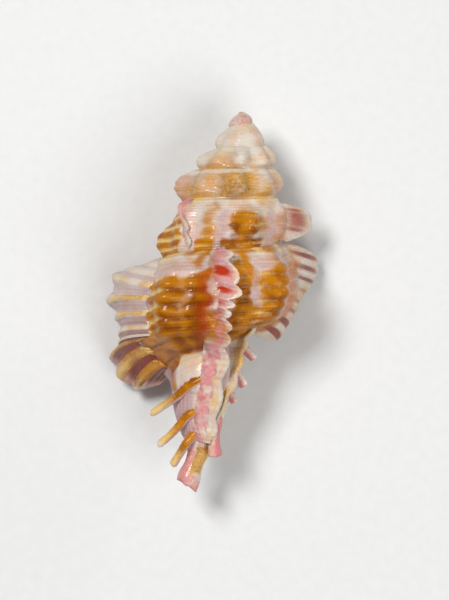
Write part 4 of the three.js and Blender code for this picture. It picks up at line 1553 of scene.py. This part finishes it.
class Wire:
    """One output of a shader node, with the arithmetic that the finish needs."""

    def __init__(self, board: "Board", socket: bpy.types.NodeSocket) -> None:
        """Keeps the board and the socket."""
        self.board = board
        self.socket = socket

    def __add__(self, other: "Wire | float") -> "Wire":
        """Adds."""
        return self.board.math("ADD", self, other)

    __radd__ = __add__

    def __sub__(self, other: "Wire | float") -> "Wire":
        """Subtracts."""
        return self.board.math("SUBTRACT", self, other)

    def __rsub__(self, other: "Wire | float") -> "Wire":
        """Subtracts from a number."""
        return self.board.math("SUBTRACT", other, self)

    def __mul__(self, other: "Wire | float") -> "Wire":
        """Multiplies."""
        return self.board.math("MULTIPLY", self, other)

    __rmul__ = __mul__


class Board:
    """The node tree of one material."""

    def __init__(self, name: str) -> None:
        """Makes a material with an empty tree.

        Args:
            name: the material's name.
        """
        self.material = bpy.data.materials.new(name)
        self.material.use_nodes = True
        self.tree = self.material.node_tree
        self.tree.nodes.clear()

    def node(self, kind: str, settings: dict[str, object], inputs: dict[str | int, object],
             output: str | int = 0) -> Wire:
        """Adds a node.

        Args:
            kind: the node's type.
            settings: its properties, which are set first.
            inputs: a value or a wire for each socket.
            output: the output that is wanted.

        Returns:
            That output.
        """
        made = self.tree.nodes.new(kind)
        for key, value in settings.items():
            setattr(made, key, value)
        for key, value in inputs.items():
            if isinstance(value, Wire):
                self.tree.links.new(value.socket, made.inputs[key])
            else:
                made.inputs[key].default_value = value
        return Wire(self, made.outputs[output])

    def show(self, surface: Wire) -> None:
        """Connects a shader to the material's surface."""
        end = self.tree.nodes.new("ShaderNodeOutputMaterial")
        self.tree.links.new(surface.socket, end.inputs["Surface"])

    def math(self, operation: str, first: "Wire | float", second: "Wire | float" = 0.0) -> Wire:
        """Adds a Math node."""
        return self.node("ShaderNodeMath", {"operation": operation}, {0: first, 1: second})

    def place(self) -> Wire:
        """The place on the object, in metres."""
        return self.node("ShaderNodeTexCoord", {}, {}, "Object")

    def tint(self, tint: Tint) -> Wire:
        """Reads a tint that is stored on the mesh."""
        return self.node("ShaderNodeAttribute", {"attribute_name": tint.value}, {}, "Fac")

    def rise(self, span: Span, value: Wire) -> Wire:
        """Rises smoothly from 0 at the start of a span to 1 at its end."""
        low, high = span
        return self.node("ShaderNodeMapRange", {"interpolation_type": "SMOOTHSTEP"},
                         {"Value": value, "From Min": low, "From Max": high})

    def noise(self, place: Wire, scale: float, detail: float) -> Wire:
        """Adds noise of a scale per metre."""
        return self.node("ShaderNodeTexNoise", {}, {"Vector": place, "Scale": scale, "Detail": detail}, "Fac")

    def mix(self, share: "Wire | float", first: object, second: object) -> Wire:
        """Mixes two colours by a share. The colours' sockets have numbers, because their names repeat."""
        return self.node("ShaderNodeMix", {"data_type": "RGBA"}, {0: share, 6: first, 7: second}, 2)


def linear(part: int) -> float:
    """One channel of a screen colour, from 0 to 255, as the shader's linear value."""
    share = part / 255
    return share / 12.92 if share <= 0.04045 else ((share + 0.055) / 1.055) ** 2.4


def colour(red: int, green: int, blue: int) -> Colour:
    """Turns screen values into the shader's colour."""
    return linear(red), linear(green), linear(blue), 1.0


@dataclass(frozen=True)
class ShellFinish:
    """The glossy, amber, cream and pink finish of the shell. Noise scales are per metre."""

    white: Colour = colour(226, 216, 200)
    peach: Colour = colour(230, 192, 150)
    yellow: Colour = colour(218, 180, 96)
    lilac: Colour = colour(192, 160, 160)
    amber: Colour = colour(192, 122, 0)
    amber_deep: Colour = colour(140, 68, 0)
    # amber_pale: the pale strips between the cords and the fans' cream, and a painted highlight on the crests
    # of the fans' back cords.
    amber_pale: Colour = colour(236, 204, 130)
    # brown: the shell's own brown, and painted shade in troughs, grooves and the spines' channels.
    brown: Colour = colour(112, 46, 0)
    # maroon: the webs' and hollows' own red-brown, and painted shade in them.
    maroon: Colour = colour(130, 56, 38)
    pink: Colour = colour(214, 134, 136)
    # red: the shell's own red spots, and painted shade and bounced light in hollows and the groove at the
    # varix's foot.
    red: Colour = colour(184, 52, 10)
    inside: Colour = colour(244, 236, 228)
    patch_scale: float = 420
    grain_scale: float = 1400
    blot_scale: float = 190
    scale_scale: float = 3400
    patch_detail: float = 4
    blot_detail: float = 3
    scale_detail: float = 2
    lines_a_turn: float = 120
    threads_a_cord: float = 3
    line_sway: float = 6
    peach_rise: Span = (0.42, 0.62)
    yellow_rise: Span = (0.5, 0.68)
    warmth: float = 0.6
    coolness: float = 0.65
    lilac_share: Span = (0.6, 0.75)
    line_rise: Span = (0, 1)
    line_share: Span = (0.08, 0.25)
    amber_rise: Span = (0.6, 1.2)
    amber_uneven: float = 0.9
    deep_rise: Span = (0.3, 0.6)
    pale_rise: Span = (0.4, 1.25)
    pale_uneven: float = 0.6
    pale_most: float = 0.85
    uneven: float = 0.3
    brown_rise: Span = (0.2, 1.15)
    brown_most: float = 0.8
    maroon_rise: Span = (0.2, 1.05)
    pink_rise: Span = (0.45, 1.4)
    pink_uneven: float = 0.45
    pink_mottled: float = 1.1
    red_rise: Span = (0.25, 1.2)
    inside_most: float = 0.9
    trough_rise: Span = (-0.3, -1.0)
    bead_height: float = 0.12
    trough_height: float = 0.25
    plain_height: float = 0.06
    thread_height: float = 0.4
    grain_height: float = 1.2
    roughness: float = 0.36
    roughness_change: float = 0.14
    gloss: dict[str, object] = field(default_factory=lambda: {
        "IOR": 1.5, "Specular IOR Level": 0.08, "Coat Weight": 0.3, "Coat Roughness": 0.12,
        "Subsurface Weight": 0.08, "Subsurface Radius": (0.002, 0.001, 0.0006), "Subsurface Scale": 0.5})
    bump_strength: float = 0.5
    bump_distance: float = 0.00012

    def material(self) -> bpy.types.Material:
        """Builds the material.

        Returns:
            The material, which reads the tints stored on the mesh.
        """
        board = Board("shell_glaze")
        place = board.place()
        patches = board.noise(place, self.patch_scale, self.patch_detail)
        grain = board.noise(place, self.grain_scale, self.patch_detail)
        tints = {tint: board.tint(tint) for tint in Tint}
        blots = board.noise(place, self.blot_scale, self.blot_detail)
        scales = board.noise(place, self.scale_scale, self.scale_detail)
        lines = board.math("SINE", tints[Tint.GROWTH] * (FULL * self.lines_a_turn) + self.line_sway * patches)
        amber_share = board.rise(self.amber_rise, tints[Tint.AMBER] + self.amber_uneven * patches)
        skin = self.ground(board, tints, patches, blots, lines)
        skin = board.mix(amber_share, skin, self.amber_skin(board, tints, patches, scales))
        brown = board.rise(self.brown_rise, tints[Tint.BROWN] + self.uneven * patches) * self.brown_most
        maroon = board.rise(self.maroon_rise, tints[Tint.MAROON] + self.uneven * patches)
        mottled = tints[Tint.PINK] + self.pink_uneven * patches + self.pink_mottled * (scales - 0.5)
        red = board.rise(self.red_rise, tints[Tint.RED] + self.uneven * grain)
        # Brown, maroon and red carry painted shade as well as the shell's own colours.
        for share, dye in ((brown, self.brown), (maroon, self.maroon),
                           (board.rise(self.pink_rise, mottled), self.pink), (red, self.red),
                           (tints[Tint.PLAIN] * self.inside_most, self.inside)):
            skin = board.mix(share, skin, dye)
        relief = self.relief(board, tints, lines, amber_share) + grain * self.grain_height
        bump = board.node("ShaderNodeBump", {}, {
            "Strength": self.bump_strength, "Distance": self.bump_distance, "Height": relief})
        rough = self.roughness + self.roughness_change * (grain - 0.5)
        board.show(board.node("ShaderNodeBsdfPrincipled", {}, {
            "Base Color": skin, "Roughness": rough, "Normal": bump, **self.gloss}))
        return board.material

    def ground(self, board: Board, tints: dict[Tint, Wire], patches: Wire, blots: Wire, lines: Wire) -> Wire:
        """Mixes the cream ground, with peach and yellow blots and lilac growth lines.

        Args:
            board: the material's tree.
            tints: the tints stored on the mesh.
            patches: middling noise.
            blots: coarse noise.
            lines: the growth lines.

        Returns:
            The colour of the ground.
        """
        warmth = 1 - self.coolness * tints[Tint.LILAC]
        peach = board.rise(self.peach_rise, patches) * self.warmth * warmth
        yellow = board.rise(self.yellow_rise, blots) * self.warmth * warmth
        ground = board.mix(yellow, board.mix(peach, self.white, self.peach), self.yellow)
        least, more = self.lilac_share
        ground = board.mix(tints[Tint.LILAC] * (least + more * patches), ground, self.lilac)
        least, more = self.line_share
        lined = board.rise(self.line_rise, lines) * (least + more * tints[Tint.LILAC])
        return board.mix(lined, ground, self.lilac)

    def amber_skin(self, board: Board, tints: dict[Tint, Wire], patches: Wire, scales: Wire) -> Wire:
        """Mixes the amber, paler where the ridge tint is high: between the whorls' cords, along the fans'
        cream cords and rims, and as a painted highlight on the crests of the fans' back cords.

        Args:
            board: the material's tree.
            tints: the tints stored on the mesh.
            patches: middling noise.
            scales: fine noise.

        Returns:
            The colour of the amber.
        """
        amber = board.mix(board.rise(self.deep_rise, patches), self.amber_deep, self.amber)
        pale = board.rise(self.pale_rise, tints[Tint.RIDGE] + self.pale_uneven * scales) * self.pale_most
        return board.mix(pale, amber, self.amber_pale)

    def relief(self, board: Board, tints: dict[Tint, Wire], lines: Wire, amber_share: Wire) -> Wire:
        """Adds up the finest relief: beads along the growth lines, and threads between the cords.

        Args:
            board: the material's tree.
            tints: the tints stored on the mesh.
            lines: the growth lines.
            amber_share: how amber the skin is.

        Returns:
            The height for the bump, 0 inside the shell.
        """
        threads = board.math("COSINE", tints[Tint.THREAD] * (FULL * self.threads_a_cord))
        cords = board.math("COSINE", tints[Tint.THREAD] * FULL)
        troughs = board.rise(self.trough_rise, cords) * amber_share
        height = self.bead_height + self.trough_height * troughs + self.plain_height * (1 - amber_share)
        return (lines * height + threads * self.thread_height) * (1 - tints[Tint.PLAIN])


@dataclass
class Shell:
    """The whole shell: its forms joined into one skin with one finish."""

    whorls: Whorls = field(default_factory=Whorls)
    fans: tuple[Fan, ...] = FANS
    spines: tuple[Spine, ...] = SPINES
    hollow: Hollow = field(default_factory=Hollow)
    finish: ShellFinish = field(default_factory=ShellFinish)

    def build(self) -> bpy.types.Object:
        """Builds the shell as one object.

        Returns:
            The finished shell.
        """
        body = self.whorls.skin()
        added = {fan.name: fan.skin(self.whorls) for fan in self.fans}
        added |= {spine.name: spine.skin() for spine in self.spines}
        cut = {"hollow": self.hollow.skin(), "slit": Slit(self.whorls.axis_bend).skin()}
        shell = body.build("murex_shell")
        for joining, skins in ((Joining.ADD, added), (Joining.CUT, cut)):
            for name, skin in skins.items():
                self.combine(shell, skin, joining)
                log.info("%s: %s", joining.name.lower(), name)
        self.store_tints(shell, [body, *added.values(), *cut.values()])
        shell.data.shade_smooth()
        shell.data.materials.clear()
        shell.data.materials.append(self.finish.material())
        log.info("murex_shell: %d triangles", sum(len(face.vertices) - 2 for face in shell.data.polygons))
        return shell

    def combine(self, shell: bpy.types.Object, skin: Skin, joining: Joining) -> None:
        """Joins a skin to the shell or cuts it away.

        Args:
            shell: the object that is changed.
            skin: the closed skin.
            joining: whether it is added or cut.
        """
        other = skin.build("tool")
        change = shell.modifiers.new("combine", "BOOLEAN")
        change.operation = joining.value
        change.solver = "MANIFOLD"
        change.object = other
        graph = bpy.context.evaluated_depsgraph_get()
        result = bpy.data.meshes.new_from_object(shell.evaluated_get(graph))
        shell.modifiers.clear()
        shell.data = result
        mesh = other.data
        bpy.data.objects.remove(other)
        bpy.data.meshes.remove(mesh)

    def store_tints(self, shell: bpy.types.Object, skins: list[Skin]) -> None:
        """Gives each point of the joined shell the tints of the nearest point that it came from.

        Args:
            shell: the joined shell.
            skins: all the skins that went into it.
        """
        points = (np.concatenate([skin.points for skin in skins]) + AXIS_PLACE) * MM
        tree = kdtree.KDTree(len(points))
        for number, point in enumerate(points):
            tree.insert(point, number)
        tree.balance()
        nearest = np.array([tree.find(vertex.co)[1] for vertex in shell.data.vertices])
        for tint in Tint:
            values = np.concatenate([skin.tints[tint] for skin in skins])[nearest]
            stored = shell.data.attributes.new(tint.value, "FLOAT", "POINT")
            stored.data.foreach_set("value", values.astype(np.float32))


@dataclass(frozen=True)
class PaperFinish:
    """The matt paper of the floor, with a faint grain. The scale is per metre."""

    dark: Colour = (0.72, 0.72, 0.71, 1)
    light: Colour = (0.78, 0.78, 0.77, 1)
    scale: float = 900
    detail: float = 3
    roughness: float = 0.8

    def material(self) -> bpy.types.Material:
        """Builds the material.

        Returns:
            The material.
        """
        board = Board("floor_paper")
        paper = board.mix(board.noise(board.place(), self.scale, self.detail), self.dark, self.light)
        board.show(board.node("ShaderNodeBsdfPrincipled", {}, {
            "Base Color": paper, "Roughness": self.roughness}))
        return board.material


@dataclass(frozen=True)
class Light:
    """A square area light that looks at the shell: its place in metres, its side and its power in watts."""

    name: str
    place: tuple[float, float, float]
    size: float
    power: float

    def build(self) -> None:
        """Hangs the light."""
        data = bpy.data.lights.new(self.name, "AREA")
        data.size = self.size
        data.energy = self.power
        lamp = bpy.data.objects.new(self.name, data)
        bpy.context.collection.objects.link(lamp)
        lamp.location = self.place
        lamp.rotation_euler = (-Vector(self.place)).to_track_quat("-Z", "Y").to_euler()


@dataclass
class Studio:
    """A pale floor, soft lights and the camera that looks down on the shell's back.

    The centre of the view is given on the shell, the distance and the floor's size in metres.
    """

    centre_right: float = 0.71
    centre_depth: float = 22.06
    roll: float = 7.46
    view_height: float = 70.1
    distance: float = 0.6
    nearest: float = 0.01
    sensor: float = 24.0
    lights: tuple[Light, ...] = (Light("key", (-0.2, 0.14, 0.44), 0.14, 1.9),
                                 Light("fill", (0.24, -0.16, 0.38), 0.3, 1.2),
                                 Light("rim", (0.3, 0.4, 0.15), 0.15, 0.3))
    room: Colour = (0.92, 0.95, 1.0, 1)
    room_strength: float = 0.12
    floor_size: float = 1.6
    paper: PaperFinish = PaperFinish()

    def build(self) -> bpy.types.Object:
        """Sets up the studio.

        Returns:
            The floor.
        """
        self.camera()
        for light in self.lights:
            light.build()
        world = bpy.data.worlds.new("soft_room")
        world.use_nodes = True
        background = world.node_tree.nodes["Background"].inputs
        background["Color"].default_value = self.room
        background["Strength"].default_value = self.room_strength
        bpy.context.scene.world = world
        bpy.context.scene.view_settings.view_transform = "Standard"
        return self.floor()

    def camera(self) -> None:
        """Places the camera over the back of the shell, turned as the photograph is."""
        data = bpy.data.cameras.new("camera")
        data.sensor_fit = "VERTICAL"
        data.sensor_height = self.sensor
        data.lens = self.sensor * self.distance / (self.view_height * MM)
        data.clip_start = self.nearest
        camera = bpy.data.objects.new("camera", data)
        bpy.context.collection.objects.link(camera)
        across = (AXIS_RIGHT + self.centre_right) * MM
        along = (APEX_AT - self.centre_depth) * MM
        camera.location = (across, along, AXIS_HEIGHT * MM + self.distance)
        camera.rotation_euler = (0, 0, math.radians(self.roll))
        bpy.context.scene.camera = camera

    def floor(self) -> bpy.types.Object:
        """Lays the pale floor.

        Returns:
            The floor.
        """
        half = self.floor_size / 2
        corners = [(-half, -half, 0), (half, -half, 0), (half, half, 0), (-half, half, 0)]
        mesh = bpy.data.meshes.new("floor")
        mesh.from_pydata(corners, [], [(0, 1, 2, 3)])
        floor = bpy.data.objects.new("floor", mesh)
        bpy.context.collection.objects.link(floor)
        mesh.materials.append(self.paper.material())
        return floor


def main() -> None:
    """Builds the studio and the shell."""
    logging.basicConfig(level=logging.INFO, format="%(message)s")
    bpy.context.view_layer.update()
    Studio().build()
    shell = Shell().build()
    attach(shell, "root")
    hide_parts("shell")


if __name__ == "__main__":
    main()
